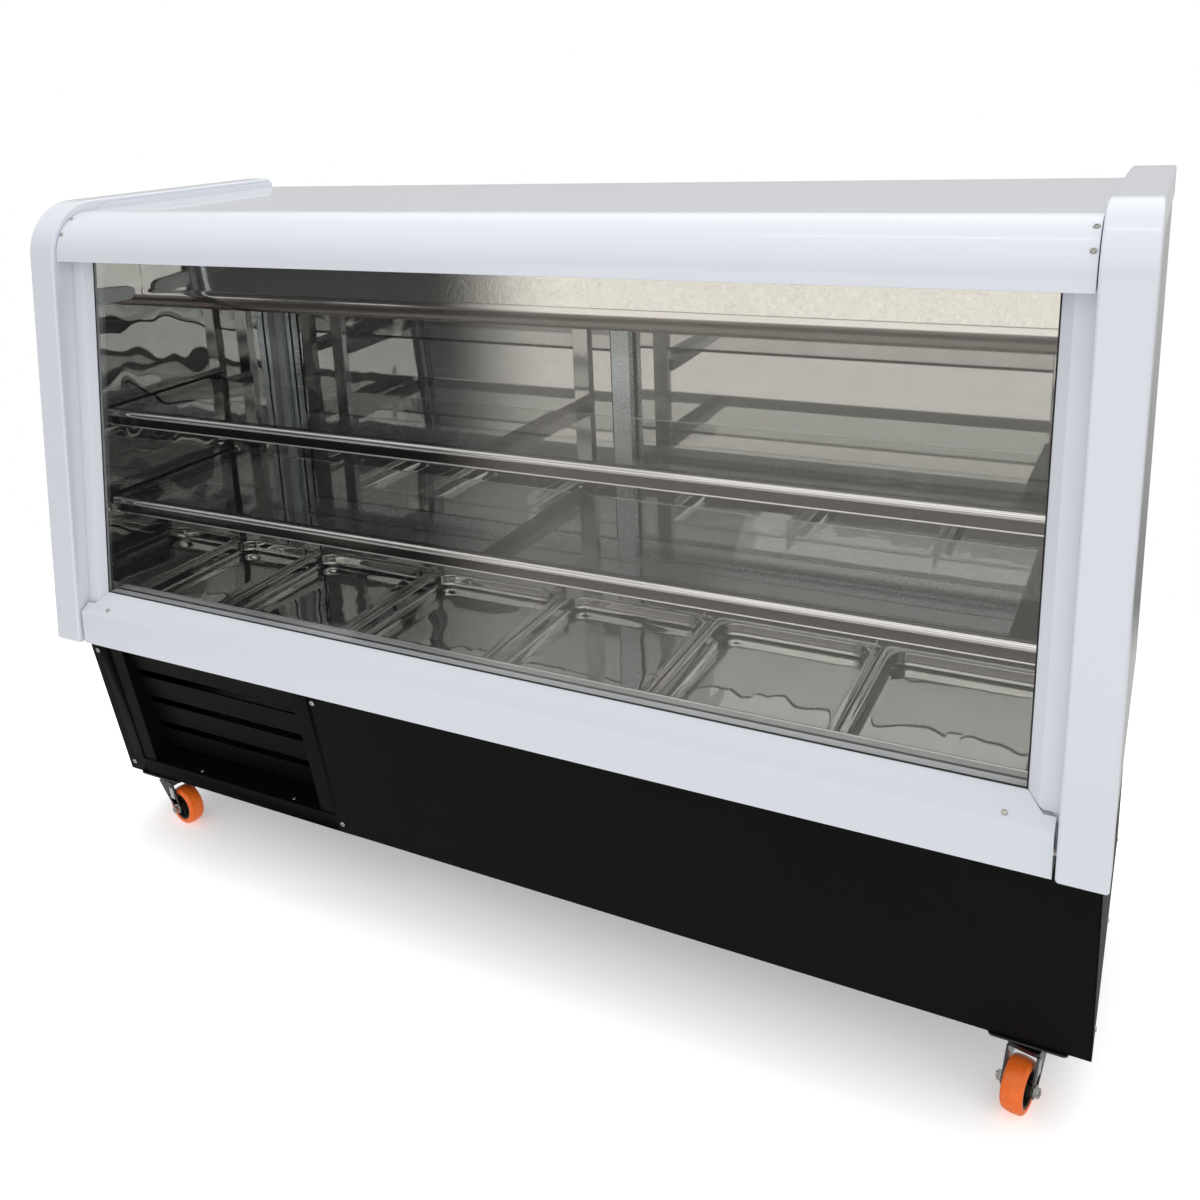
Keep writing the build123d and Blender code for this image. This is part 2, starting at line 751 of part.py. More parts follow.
def evaporator_coil():
    """Finned coil behind the evaporator's fan, with its tube bends at the right end."""
    half = COIL_HALF_LENGTH
    core = block((-half, half), COIL_SETBACKS, COIL_HEIGHTS)
    first = COIL_SETBACKS[0] + 4 * COIL_TUBE_RADIUS
    last = first + COIL_BEND
    reach = half + 3 * COIL_TUBE_RADIUS
    bends = []
    for z in COIL_ROWS:
        for y in (first, last):
            bends.append(rod(COIL_TUBE_RADIUS, (half, y, z), (reach, y, z)))
        start, end = first - COIL_TUBE_RADIUS, last + COIL_TUBE_RADIUS
        bends.append(rod(COIL_TUBE_RADIUS, (reach, start, z), (reach, end, z)))
    return core + bends


def fan(radius, hub_radius, depth):
    """Axial fan about Z: a bored hub with pitched blades, from z 0 to its depth."""
    blade_count, blade_thickness, pitch, root = 5, 2, 28, 3
    rotor = extrude(Circle(hub_radius), amount=depth)
    span = radius - hub_radius + root
    chord = 1.7 * depth
    for number in range(blade_count):
        blade = Pos(hub_radius - root + span / 2, 0, depth / 2) * Rot(X=pitch)
        rotor += Rot(Z=360 / blade_count * number) * blade * Box(span, chord, blade_thickness)
    shell = extrude(Circle(radius), amount=depth)
    bore = extrude(Circle(FAN_SHAFT_RADIUS + RUNNING), amount=depth, both=True)
    return (rotor & shell) - bore


def evaporator_fan():
    place = Pos(0, back(EVAPORATOR_FAN_SETBACK), EVAPORATOR_FAN_FOOT)
    return place * fan(EVAPORATOR_FAN_RADIUS, 24, EVAPORATOR_FAN_DEPTH)


def condenser_fan():
    place = Pos(CONDENSER_FAN_X, back(CONDENSER_FAN_FRONT), CONDENSER_FAN_Z) * Rot(X=-90)
    return place * fan(CONDENSER_FAN_RADIUS, 30, CONDENSER_FAN_DEPTH)


def evaporator_motor():
    """Motor hung from the top panel, with the shaft that its fan turns on."""
    y, radius, height = EVAPORATOR_FAN_SETBACK, 32, 56
    start = EVAPORATOR_FAN_FOOT + EVAPORATOR_FAN_DEPTH + SHEET
    shaft = rod(FAN_SHAFT_RADIUS, (0, y, EVAPORATOR_FAN_FOOT + 4), (0, y, start + SHEET))
    motor = rod(radius, (0, y, start), (0, y, start + height))
    half = radius / 2
    strut = block((-half, half), (y - half, y + half), (start + height, TOP_UNDERSIDE))
    return shaft + motor + strut


def condenser_motor():
    """Motor on a post from the base's floor, with the shaft that its fan turns on."""
    x, z, radius, length = CONDENSER_FAN_X, CONDENSER_FAN_Z, 38, 60
    start = CONDENSER_FAN_FRONT + CONDENSER_FAN_DEPTH + SHEET
    shaft = rod(FAN_SHAFT_RADIUS, (x, CONDENSER_FAN_FRONT + 4, z), (x, start + SHEET, z))
    motor = rod(radius, (x, start, z), (x, start + length, z))
    floor = BASE_UNDERSIDE + BASE_FLOOR
    depth = (start + 10, start + 40)
    post = block((x - 16, x + 16), depth, (floor, z))
    foot = block((x - 45, x + 45), (start + 4, start + 70), (floor, floor + BASE_FLOOR))
    return shaft + motor + post + foot


def condenser():
    """Finned condenser with the shroud that guides air to its fan."""
    x, z = CONDENSER_FAN_X, CONDENSER_FAN_Z
    width = (x - CONDENSER_HALF_WIDTH, x + CONDENSER_HALF_WIDTH)
    height = (BASE_UNDERSIDE + BASE_FLOOR, CONDENSER_TOP)
    inner = CONDENSER_FAN_RADIUS + SHROUD_CLEARANCE
    core = block(width, (CONDENSER_FRONT, CONDENSER_PLATE), height)
    plate = block(width, (CONDENSER_PLATE, CONDENSER_PLATE + SHEET), height)
    ring = rod(inner + SHEET, (x, CONDENSER_PLATE, z), (x, SHROUD_REAR, z))
    bore = rod(inner, (x, CONDENSER_PLATE + SHEET, z), (x, SHROUD_REAR + SHEET, z))
    return core + plate + (ring - bore)


def compressor():
    """Hermetic compressor: a welded pot on a foot plate, with its terminal box."""
    x, y, floor = COMPRESSOR_X, COMPRESSOR_SETBACK, BASE_UNDERSIDE + BASE_FLOOR
    length, width, thickness = COMPRESSOR_PLATE
    plate_foot = floor + 10
    pot = Pos(x, back(y), plate_foot + thickness / 2)
    pot *= extrude(Circle(COMPRESSOR_RADIUS), amount=COMPRESSOR_HEIGHT)
    pot = fillet(pot.edges().filter_by(GeomType.CIRCLE), COMPRESSOR_CROWN)
    plate = block(
        (x - length / 2, x + length / 2),
        (y - width / 2, y + width / 2),
        (plate_foot, plate_foot + thickness),
    )
    dx, dy = COMPRESSOR_PADS
    pads = [
        rod(PAD_RADIUS, (px, py, floor), (px, py, plate_foot + 2))
        for px in (x - dx, x + dx)
        for py in (y - dy, y + dy)
    ]
    terminals = block((x + 60, x + 100), (y - 30, y + 30), (floor + 70, floor + 130))
    return pot + plate + pads + terminals


def rear_frame():
    """Insulated header, sill and jambs round the doors."""
    rear = (REAR_INNER, BODY_DEPTH)
    header = block((-WALL_FACE, WALL_FACE), rear, (HEADER_FOOT, TOP_UNDERSIDE))
    sill = block((-WALL_FACE, WALL_FACE), rear, (FLOOR_TOP, DECK))
    left = block((-WALL_FACE, -JAMB_FACE), rear, (DECK, HEADER_FOOT))
    return [header, sill, left, mirrored(left)]


def door_tracks():
    """Upper and lower tracks, each with three ribs that guide the two doors."""
    width = (-JAMB_FACE, JAMB_FACE)
    ribs = [
        (INNER_DOOR - TRACK_GAP - TRACK_RIB, INNER_DOOR - TRACK_GAP),
        (INNER_DOOR + DOOR_THICKNESS + TRACK_GAP, OUTER_DOOR - TRACK_GAP),
        (OUTER_DOOR + DOOR_THICKNESS + TRACK_GAP, BODY_DEPTH),
    ]
    depth = (ribs[0][0], BODY_DEPTH)
    lower = block(width, depth, (DECK, DECK + TRACK_PLATE))
    upper = block(width, depth, (HEADER_FOOT - TRACK_PLATE, HEADER_FOOT))
    for rib in ribs:
        lower += block(width, rib, (DECK, DECK + LOWER_RIB))
        upper += block(width, rib, (HEADER_FOOT - UPPER_RIB, HEADER_FOOT))
    return [upper, lower]


def door_frame(low, high, setback, pull_x):
    """Aluminium frame of a sliding door: two stiles, two rails and a finger pull in one stile."""
    depth, height = (setback, setback + DOOR_THICKNESS), (DOOR_FOOT, DOOR_HEAD)
    inner_low, inner_high = low + DOOR_FRAME, high - DOOR_FRAME
    pull_low = pull_x - PULL_SIZE[0] / 2
    middle = (DOOR_FOOT + DOOR_HEAD) / 2
    pull = block(
        (pull_low, pull_low + PULL_SIZE[0]),
        (depth[1] - PULL_SIZE[1], depth[1]),
        (middle - PULL_SIZE[2] / 2, middle + PULL_SIZE[2] / 2),
    )
    return [
        block((low, inner_low), depth, height) - pull,
        block((inner_high, high), depth, height) - pull,
        block((inner_low, inner_high), depth, (DOOR_FOOT, DOOR_FOOT + DOOR_FRAME)),
        block((inner_low, inner_high), depth, (DOOR_HEAD - DOOR_FRAME, DOOR_HEAD)),
    ]


def door_pane(low, high, setback):
    """Sealed double pane inside a door's frame."""
    start = setback + (DOOR_THICKNESS - DOOR_PANE) / 2
    return block(
        (low + DOOR_FRAME, high - DOOR_FRAME),
        (start, start + DOOR_PANE),
        (DOOR_FOOT + DOOR_FRAME, DOOR_HEAD - DOOR_FRAME),
    )


def lamp():
    """Tube lamp behind the fascia, with a holder at each end."""
    y, z, half = LAMP_SETBACK, LAMP_Z, LAMP_HALF_LENGTH
    length, width = LAMP_HOLDER
    tube = rod(LAMP_RADIUS, (-half, y, z), (half, y, z))
    depth = (y - width / 2, y + width / 2)
    holder = block((half, half + length), depth, (z - width / 2, TOP_UNDERSIDE))
    return [tube, holder, mirrored(holder)]


def control_plate():
    """Rear plate with the thermostat's body behind it."""
    x, z = KNOB_X, KNOB_Z
    width, height = CONTROL_PLATE
    depth = (BODY_DEPTH, BODY_DEPTH + SHEET)
    plate = block((x - width / 2, x + width / 2), depth, (z - height / 2, z + height / 2))
    half = THERMOSTAT[0] / 2
    depth = (BODY_DEPTH - SHEET - THERMOSTAT[1], BODY_DEPTH - SHEET)
    body = block((x - half, x + half), depth, (z - half, z + half))
    socket_end = BODY_DEPTH - 7 * SHEET
    socket = rod(KNOB_SPINDLE_RADIUS + RUNNING, (x, socket_end, z), (x, BODY_DEPTH, z))
    return [plate - through_rear(KNOB_SPINDLE_RADIUS + SHEET, x, z), body - socket]


def thermostat_knob():
    """Round knob with a raised pointer, on the spindle that turns in the thermostat."""
    x, z = KNOB_X, KNOB_Z
    width, length, rise = KNOB_POINTER
    face, disc_end = BODY_DEPTH + SHEET + BODY_GAP, KNOB_END - rise
    disc = rod(KNOB_RADIUS, (x, face, z), (x, disc_end, z))
    pointer = block((x - width / 2, x + width / 2), (disc_end, KNOB_END), (z, z + length))
    spindle = rod(KNOB_SPINDLE_RADIUS, (x, BODY_DEPTH - 6 * SHEET, z), (x, face, z))
    return disc + pointer + spindle


def cable_gland():
    """Cord gland in the rear panel, closed by its rubber seal."""
    x, z, inside = GLAND_X, GLAND_Z, BODY_DEPTH - SHEET
    thread = rod(GLAND_THREAD_RADIUS, (x, inside - 6, z), (x, DEPTH - 1, z))
    nut = Plane((x, back(BODY_DEPTH), z), z_dir=(0, 1, 0)) * hexagon(GLAND_NUT_RADIUS, 6)
    lock_nut = Plane((x, back(inside), z), z_dir=(0, -1, 0)) * hexagon(GLAND_NUT_RADIUS, 4)
    return thread + nut + lock_nut


def caster_bolts():
    """Bolts through the caster plates and the base's floor, with their nuts."""
    plate_under = BASE_UNDERSIDE - CASTER_PLATE[2]
    bolts = []
    for x, y in bolt_places():
        place = Pos(x, y, 0)
        head = place * Pos(0, 0, plate_under - BOLT_HEAD[1]) * hexagon(*BOLT_HEAD)
        shank = extrude(Circle(CASTER_BOLT_RADIUS), amount=BOLT_LENGTH)
        shank = place * Pos(0, 0, plate_under) * shank
        nut = place * Pos(0, 0, BASE_UNDERSIDE + BASE_FLOOR) * hexagon(*BOLT_NUT)
        bolts.append(head + shank + nut)
    return bolts


def caster_plate(name):
    """Fixed plate of a caster with its upper race and kingpin."""
    side, end, _ = CASTERS[name]
    x, y = caster_centre(side, end)
    long_side, short_side, thickness = CASTER_PLATE
    under = BASE_UNDERSIDE - thickness
    plate = extrude(RectangleRounded(long_side, short_side, 8), amount=thickness)
    for dx in (-BOLT_SPACING[0] / 2, BOLT_SPACING[0] / 2):
        for dy in (-BOLT_SPACING[1] / 2, BOLT_SPACING[1] / 2):
            plate -= Pos(dx, dy, 0) * Cylinder(CASTER_BOLT_RADIUS + RUNNING, 4 * thickness)
    race_foot, crown_foot = FORK_TOP + BODY_GAP, FORK_TOP - FORK_CROWN
    rivet_foot = crown_foot - 7
    race = Pos(0, 0, race_foot - under) * extrude(Circle(21), amount=under - race_foot)
    pin = extrude(Circle(KINGPIN_RADIUS), amount=under - rivet_foot)
    rivet = extrude(Circle(10), amount=crown_foot - BODY_GAP - rivet_foot)
    kingpin = Pos(0, 0, rivet_foot - under) * (pin + rivet)
    return Pos(x, y, under) * (plate + race + kingpin)


def caster_place(name):
    """Frame of a caster: its origin under the swivel axis, X along the axle, wheel towards -Y."""
    side, end, angle = CASTERS[name]
    x, y = caster_centre(side, end)
    return Pos(x, y, 0) * Rot(Z=angle)


def fork_leg():
    """Right leg of a caster's fork, from its crown down to a round end at the axle."""
    crown_foot = FORK_TOP - FORK_CROWN
    outline = Polyline(
        (19, crown_foot),
        (-27, crown_foot),
        (-CASTER_TRAIL - LEG_END_RADIUS, WHEEL_RADIUS),
        (-CASTER_TRAIL + 9, WHEEL_RADIUS - 6),
        close=True,
    )
    end = Pos(-CASTER_TRAIL, WHEEL_RADIUS) * Circle(LEG_END_RADIUS)
    face = Plane.YZ.offset(LEG_OUTER - LEG_THICKNESS) * (make_face(outline) + end)
    axle_hole = Rot(Y=90) * Cylinder(AXLE_RADIUS, 4 * LEG_OUTER)
    leg = extrude(face, amount=LEG_THICKNESS, dir=(1, 0, 0))
    return leg - Pos(0, -CASTER_TRAIL, WHEEL_RADIUS) * axle_hole


def caster_fork(name):
    """Pressed fork: a crown with two legs to the axle, and the axle bolt with its nut."""
    crown = Pos(0, -4, 0) * RectangleRounded(2 * LEG_OUTER, 2 * FORK_RACE_RADIUS, 6)
    crown += Circle(FORK_RACE_RADIUS)
    crown -= Circle(KINGPIN_RADIUS + RUNNING)
    leg = fork_leg()
    fork = Pos(0, 0, FORK_TOP - FORK_CROWN) * extrude(crown, amount=FORK_CROWN)
    fork += leg + mirrored(leg)
    axle = Plane((0, -CASTER_TRAIL, WHEEL_RADIUS), z_dir=(1, 0, 0))
    start = LEG_OUTER + AXLE_NUT[1] + SHEET
    shank = extrude(axle.offset(-start) * Circle(AXLE_RADIUS), amount=start + LEG_OUTER)
    head = axle.offset(LEG_OUTER) * hexagon(*AXLE_HEAD)
    nut = axle.offset(-LEG_OUTER - AXLE_NUT[1]) * hexagon(*AXLE_NUT)
    place = caster_place(name)
    return [place * fork, place * (shank + head + nut)]


def wheel_solid(outline):
    """Body turned about the axle from a half section drawn with radius and axle distance."""
    turned = revolve(make_face(outline), axis=Axis.Y)
    return Pos(0, -CASTER_TRAIL, WHEEL_RADIUS) * Rot(Z=-90) * turned


def caster_hub(name):
    """Black hub with a recessed web on both sides."""
    bore, sleeve, rim_inner, rim_outer = AXLE_RADIUS + RUNNING, 9, 23, HUB_RADIUS
    half, web = WHEEL_WIDTH / 2 - 1, 4
    reach = LEG_OUTER - LEG_THICKNESS - BODY_GAP
    profile = Polyline(
        (bore, -reach),
        (sleeve, -reach),
        (sleeve, -web),
        (rim_inner, -web),
        (rim_inner, -half),
        (rim_outer, -half),
        (rim_outer, half),
        (rim_inner, half),
        (rim_inner, web),
        (sleeve, web),
        (sleeve, reach),
        (bore, reach),
        close=True,
    )
    return caster_place(name) * wheel_solid(profile)


def caster_tyre(name):
    """Orange tyre with rounded shoulders and a slightly crowned tread."""
    half, shoulder, crown = WHEEL_WIDTH / 2, 6, 1
    outer, edge, tread = WHEEL_RADIUS, WHEEL_RADIUS - crown, half - shoulder
    side = edge - shoulder
    outline = [
        Line((HUB_RADIUS, -half), (side, -half)),
        TangentArc((side, -half), (edge, -tread), tangent=(1, 0)),
        ThreePointArc((edge, -tread), (outer, 0), (edge, tread)),
        TangentArc((edge, tread), (side, half), tangent=(0, 1)),
        Line((side, half), (HUB_RADIUS, half)),
        Line((HUB_RADIUS, half), (HUB_RADIUS, -half)),
    ]
    return caster_place(name) * wheel_solid(outline)


def cross_head_screw(plane):
    """Pan-head screw with a cross recess, its head standing on the plane."""
    head = plane * extrude(Circle(SCREW_HEAD_RADIUS), amount=SCREW_HEAD_HEIGHT)
    head = fillet(head.edges().filter_by(GeomType.CIRCLE)[-1:], 1)
    shank = plane * extrude(Circle(SCREW_RADIUS), amount=-SCREW_LENGTH / 2)
    slot, depth, length = 1.1, 2.4, 1.3 * SCREW_HEAD_RADIUS
    recess = Box(length, slot, depth) + Box(slot, length, depth)
    return head + shank - plane * Pos(0, 0, SCREW_HEAD_HEIGHT) * recess


def louvre_screws():
    return [cross_head_screw(base_front_plane(x, z)) for x, z in louvre_screw_places()]


def parts():
    """Every node's name with its solids."""
    cap, wall, stile, side = end_cap(), end_wall(), glass_stile(), base_side()
    left_door = (-JAMB_FACE + 0.5, DOOR_HALF_OVERLAP, INNER_DOOR)
    right_door = (-DOOR_HALF_OVERLAP, JAMB_FACE - 0.5, OUTER_DOOR)
    nodes = {
        "base_floor": [base_floor()] + corner_posts(),
        "base_front_panel": [base_front_panel()],
        "louvre_frame": louvre_frame(),
        "louvre_insert": louvre_slats() + louvre_channels(),
        "base_side_panels": [side, mirrored(side)],
        "base_rear_panel": [base_rear_panel()],
        "insulated_floor": [insulated_floor()],
        "front_rail": [front_rail()],
        "end_wall_right": [wall],
        "end_wall_left": [mirrored(wall)],
        "end_cap_right": [cap],
        "end_cap_left": [mirrored(cap)],
        "top_panel": [top_panel()],
        "front_glass": [front_glass()],
        "glass_stiles": [stile, mirrored(stile)],
        "rear_frame": rear_frame(),
        "door_tracks": door_tracks(),
        "evaporator_housing": [evaporator_housing()],
        "evaporator_coil": [evaporator_coil()],
        "evaporator_fan": [evaporator_fan()],
        "fan_motors": [evaporator_motor(), condenser_motor()],
        "condenser": [condenser()],
        "condenser_fan": [condenser_fan()],
        "compressor": [compressor()],
        "lamp_tube": lamp()[:1],
        "lamp_holders": lamp()[1:],
        "shelf_glass_lower": [shelf_glass(LOWER_SHELF, LOWER_SHELF_FRONT, LOWER_SHELF_REAR)],
        "shelf_glass_upper": [shelf_glass(UPPER_SHELF, UPPER_SHELF_FRONT, UPPER_SHELF_REAR)],
        "shelf_rails": [
            shelf_rail(LOWER_SHELF, LOWER_SHELF_FRONT),
            shelf_rail(UPPER_SHELF, UPPER_SHELF_FRONT),
        ],
        "shelf_arms": shelf_arms(),
        "shelf_uprights": shelf_uprights(),
        "deck_liner": deck_liner(),
        "deck_dividers": deck_dividers(),
        "door_frame_left": door_frame(*left_door, left_door[0] + DOOR_FRAME / 2),
        "door_pane_left": [door_pane(*left_door)],
        "door_frame_right": door_frame(*right_door, right_door[1] - DOOR_FRAME / 2),
        "door_pane_right": [door_pane(*right_door)],
        "control_plate": control_plate(),
        "thermostat_knob": [thermostat_knob()],
        "cable_gland": [cable_gland()],
        "fasteners": louvre_screws() + caster_bolts(),
        "caster_plates": [caster_plate(name) for name in CASTERS],
    }
    for number, bay in enumerate(pan_limits(), start=1):
        nodes[f"pan_{number}"] = [pan(bay)]
    for name in CASTERS:
        nodes[f"caster_fork_{name}"] = caster_fork(name)
        nodes[f"caster_hub_{name}"] = [caster_hub(name)]
        nodes[f"caster_tyre_{name}"] = [caster_tyre(name)]
    return nodes


def main():
    os.makedirs("parts", exist_ok=True)
    for name, solids in parts().items():
        pieces = [piece for solid in solids for piece in solid.solids()]
        shape = pieces[0] if len(pieces) == 1 else Compound(children=pieces)
        export_step(shape, f"parts/{name}.step")


main()
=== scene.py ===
import math

import bmesh
import bpy
from mathutils import Matrix, Vector, noise


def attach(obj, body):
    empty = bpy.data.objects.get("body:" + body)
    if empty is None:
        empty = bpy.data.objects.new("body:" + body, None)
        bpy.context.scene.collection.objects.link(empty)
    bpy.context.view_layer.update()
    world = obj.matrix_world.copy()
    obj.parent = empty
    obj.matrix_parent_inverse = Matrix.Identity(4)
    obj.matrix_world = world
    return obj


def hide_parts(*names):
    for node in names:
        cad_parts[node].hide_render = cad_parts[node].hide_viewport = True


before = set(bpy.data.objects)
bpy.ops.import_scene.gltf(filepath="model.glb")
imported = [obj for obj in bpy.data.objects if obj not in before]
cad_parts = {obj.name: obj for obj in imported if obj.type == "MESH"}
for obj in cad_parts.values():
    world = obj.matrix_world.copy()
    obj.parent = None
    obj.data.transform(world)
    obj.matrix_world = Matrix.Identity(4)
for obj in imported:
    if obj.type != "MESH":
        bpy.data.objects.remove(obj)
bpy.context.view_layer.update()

# Sizes are millimetres. X runs along the counter, a setback is the distance behind the front lip
# of the end caps, and z is the height over the floor.
MM = 0.001
HALF_DEPTH = 330
HALF_LENGTH = 900
BODY_REAR = 650
BODY_FOOT = 440
BASE_FOOT = 105
TOP = 1240
SHEET = 2

CAP_WIDTH = 60
CAP_BAND = 45
CAP_LEAN = 5.7
CAP_ARC = 100
CAP_EDGE = 4.5

GLASS_SETBACK = 50
GLASS_FOOT = 530
GLASS_LEAN = math.radians(6.9)
GLASS_HALF_SIGHT = 800
STILE_WIDTH = 40
STILE_BEVEL = 15
STILE_PROUD = 12
STILE_BACK = 20
RAIL_HALF = 836
RAIL_NOSE_BACK = 30
MITRE_DROP = 30

TOP_HALF = 838.5
TOP_SURFACE = 1222
TOP_UNDERSIDE = 1192
FASCIA_FOOT = 1141
FASCIA_SETBACK = 77
FASCIA_LEAN = 6
FASCIA_ARC = 80

WALL_FACE = 825
DECK = 495
REAR_INNER = 598
HEADER_FOOT = 1030
PAN_EDGES = [-825] + [825 - 288 * number for number in range(5, -1, -1)]
PAN_FRONT = 84
PAN_REAR = 440
PAN_DEPTH = 23
PAN_TRAVEL_TOP = 562
SHELVES = {"lower": (697, 112), "upper": (862, 127)}
SHELF_HALF = 815

BASE_TOP_SETBACK = 57
BASE_FOOT_SETBACK = 114
# Each caster's swivel axis in the frame's X and Y, and the angle of its axle in degrees.
CASTERS = {
    "front_left": (-812, -185, 80),
    "front_right": (812, -185, -12),
    "rear_left": (-812, 185, 160),
    "rear_right": (812, 185, 190),
}
TRAIL = 36
WHEEL_RADIUS = 38
WHEEL_WIDTH = 30

PAN_SECTION = (
    (0.2, 0.1, 8), (0, 0.8, 8), (0.5, 1.4, 8), (1.2, 1.5, 8), (4, 1.2, 12), (7, 1.0, 18), (9, 1.25, 24),
    (11, 1.5, 30), (12.6, 1.3, 34), (13.6, 0.2, 34), (13.9, -2, 34), (14.2, -8, 33), (14.8, -12, 32),
)
PAN_TURN = 9.5
PAN_WAVE = 0.8
PAN_WAVE_LENGTH = 110
LINER_WAVE = 1.9
LINER_WAVE_LENGTH = 230
LINER_FADE = 60
SEAL_RADIUS = 1.1

# The screws' cross recess, as shares of the head's radius and height.
CROSS_HALF_WIDTH = 0.13
CROSS_REACH = 0.62
CROSS_DEPTH = 0.55

ACROSS = Vector((1, 0, 0))
REARWARD = Vector((0, 1, 0))
UP = Vector((0, 0, 1))

# Floor: half its length in metres, and the counter's half footprint, under which its glow is lowered to a
# painted shadow.
FLOOR_REACH = 8
PAINTED_SHADOW_FOOTPRINT = (0.8, 0.2, 0)

# Brightness of the room that reflections see. EVEN_LEVEL is what all other rays meet but the camera's.
OVERHEAD_LOW = 0.04
OVERHEAD_HIGH = 0.9
FRONT_LEVEL = 1.0
BACK_LEVEL = 0.5
SIDE_LEVEL = 0.3
EVEN_LEVEL = 0.74

# Edges of the bright wall in front, as turns in radians from straight ahead, positive to the left.
FRONT_LEFT = (0.5, 0.6)
FRONT_RIGHT = (-0.5, -0.35)

# Each bright window: right and left edge as such turns, foot and head as the z of a direction, level.
WINDOWS = (
    (0.64, 0.7, -0.32, -0.24, 0.7),
    (0.76, 0.84, -0.31, -0.23, 0.7),
    (-0.95, -0.62, -0.3, 0.16, 0.95),
    (-0.58, -0.53, -0.3, 0.4, 0.8),
)

# The photograph's camera: angles in radians, lens and middle in pixels of the image, place as X,
# setback and z.
IMAGE = 1200
FOCAL = 1176.5
IMAGE_CENTRE = (563.3, 397.9)
YAW, PITCH, ROLL = 0.4975, 0.2504, 0.0491
CAMERA_PLACE = (928.3, -1330.8, 1380.1)
SENSOR = 36


def place(x, setback, z):
    """Point in metres from an X, a setback and a height in millimetres."""
    return Vector((x, setback - HALF_DEPTH, z)) * MM


def glass_setback(z, behind=0):
    """Setback at height z of the plane this far behind the front of the glass."""
    return GLASS_SETBACK + behind / math.cos(GLASS_LEAN) + math.tan(GLASS_LEAN) * (z - GLASS_FOOT)


def base_setback(z, behind=0):
    """Setback of the base's sloping front at height z."""
    share = (z - BASE_FOOT) / (BODY_FOOT - BASE_FOOT)
    return BASE_FOOT_SETBACK + share * (BASE_TOP_SETBACK - BASE_FOOT_SETBACK) + behind


def rounded(points, radii, steps=14):
    """Outline whose corners named in radii, by number, are arcs of that radius."""
    outline = []
    count = len(points)
    for number, point in enumerate(points):
        corner = Vector(point)
        if number not in radii:
            outline.append(corner)
            continue
        before = (Vector(points[number - 1]) - corner).normalized()
        after = (Vector(points[(number + 1) % count]) - corner).normalized()
        half = before.angle(after) / 2
        middle = (before + after).normalized()
        centre = corner + middle * radii[number] / math.sin(half)
        reach = radii[number] / math.tan(half)
        start, end = corner + before * reach - centre, corner + after * reach - centre
        turn = start.angle_signed(end)
        for step in range(steps + 1):
            angle = -turn * step / steps
            swing = Matrix.Rotation(angle, 2)
            outline.append(centre + swing @ start)
    return [tuple(point) for point in outline]


def ring_points(centre, side, up, radius, steps):
    """Circle in the plane of side and up; centre in metres, radius in millimetres."""
    angles = [2 * math.pi * step / steps for step in range(steps)]
    return [centre + (side * math.cos(a) + up * math.sin(a)) * radius * MM for a in angles]


class Shape:
    """A mesh made of simple closed forms. Faces carry the number of their material."""

    def __init__(self):
        self.verts = []
        self.faces = []
        self.tints = []

    def add(self, verts, faces, tint=0):
        first = len(self.verts)
        self.verts += [tuple(vert) for vert in verts]
        self.faces += [[first + index for index in face] for face in faces]
        self.tints += [tint] * len(faces)

    def rings(self, rings, tint=0, close=True):
        """Skin over rings of points, closed at both ends."""
        count = len(rings[0])
        verts = [point for ring in rings for point in ring]
        faces = []
        for row in range(len(rings) - 1):
            for step in range(count):
                a, b = row * count + step, row * count + (step + 1) % count
                faces.append((a, b, b + count, a + count))
        if close:
            last = (len(rings) - 1) * count
            faces.append(tuple(range(count))[::-1])
            faces.append(tuple(range(last, last + count)))
        self.add(verts, faces, tint)

    def prism(self, outline, low, high, tint=0):
        """Solid of a side outline of (setback, z); low and high are X, or functions of (setback, z)."""
        ends = [end if callable(end) else (lambda y, z, end=end: end) for end in (low, high)]
        self.rings([[place(end(y, z), y, z) for y, z in outline] for end in ends], tint)

    def box(self, x, y, z, tint=0):
        self.prism([(y[0], z[0]), (y[1], z[0]), (y[1], z[1]), (y[0], z[1])], x[0], x[1], tint)

    def lathe(self, profile, centre, axis, steps=32, tint=0, close=True):
        """Turned form: profile is (way along the axis, radius) in millimetres, centre in metres."""
        axis = Vector(axis).normalized()
        side = axis.orthogonal().normalized()
        up = axis.cross(side)
        rings = []
        for along, radius in profile:
            rings.append(ring_points(centre + axis * along * MM, side, up, radius, steps))
        self.rings(rings, tint, close)

    def tube(self, points, radius, steps=12, tint=0, loop=False):
        """Round wire through points in metres; the radius is in millimetres."""
        rings = []
        count = len(points)
        for number, point in enumerate(points):
            if loop:
                way = points[(number + 1) % count] - points[number - 1]
            else:
                way = points[min(number + 1, count - 1)] - points[max(number - 1, 0)]
            side = way.cross(Vector((0.31, 0.17, 1))).normalized()
            up = way.normalized().cross(side)
            rings.append(ring_points(point, side, up, radius, steps))
        if loop:
            rings.append(rings[0])
        self.rings(rings, tint, close=not loop)

    def piece(self, name, finishes, slot, body="cabinet", nodes=(), bevel=0, segments=2, sharp=32):
        """The finished object, riding on its body."""
        mesh = bpy.data.meshes.new(name)
        mesh.from_pydata(self.verts, [], self.faces)
        for finish in finishes:
            mesh.materials.append(finish)
        mesh.polygons.foreach_set("material_index", self.tints)
        return settle(name, mesh, body, nodes, bevel, segments, sharp)


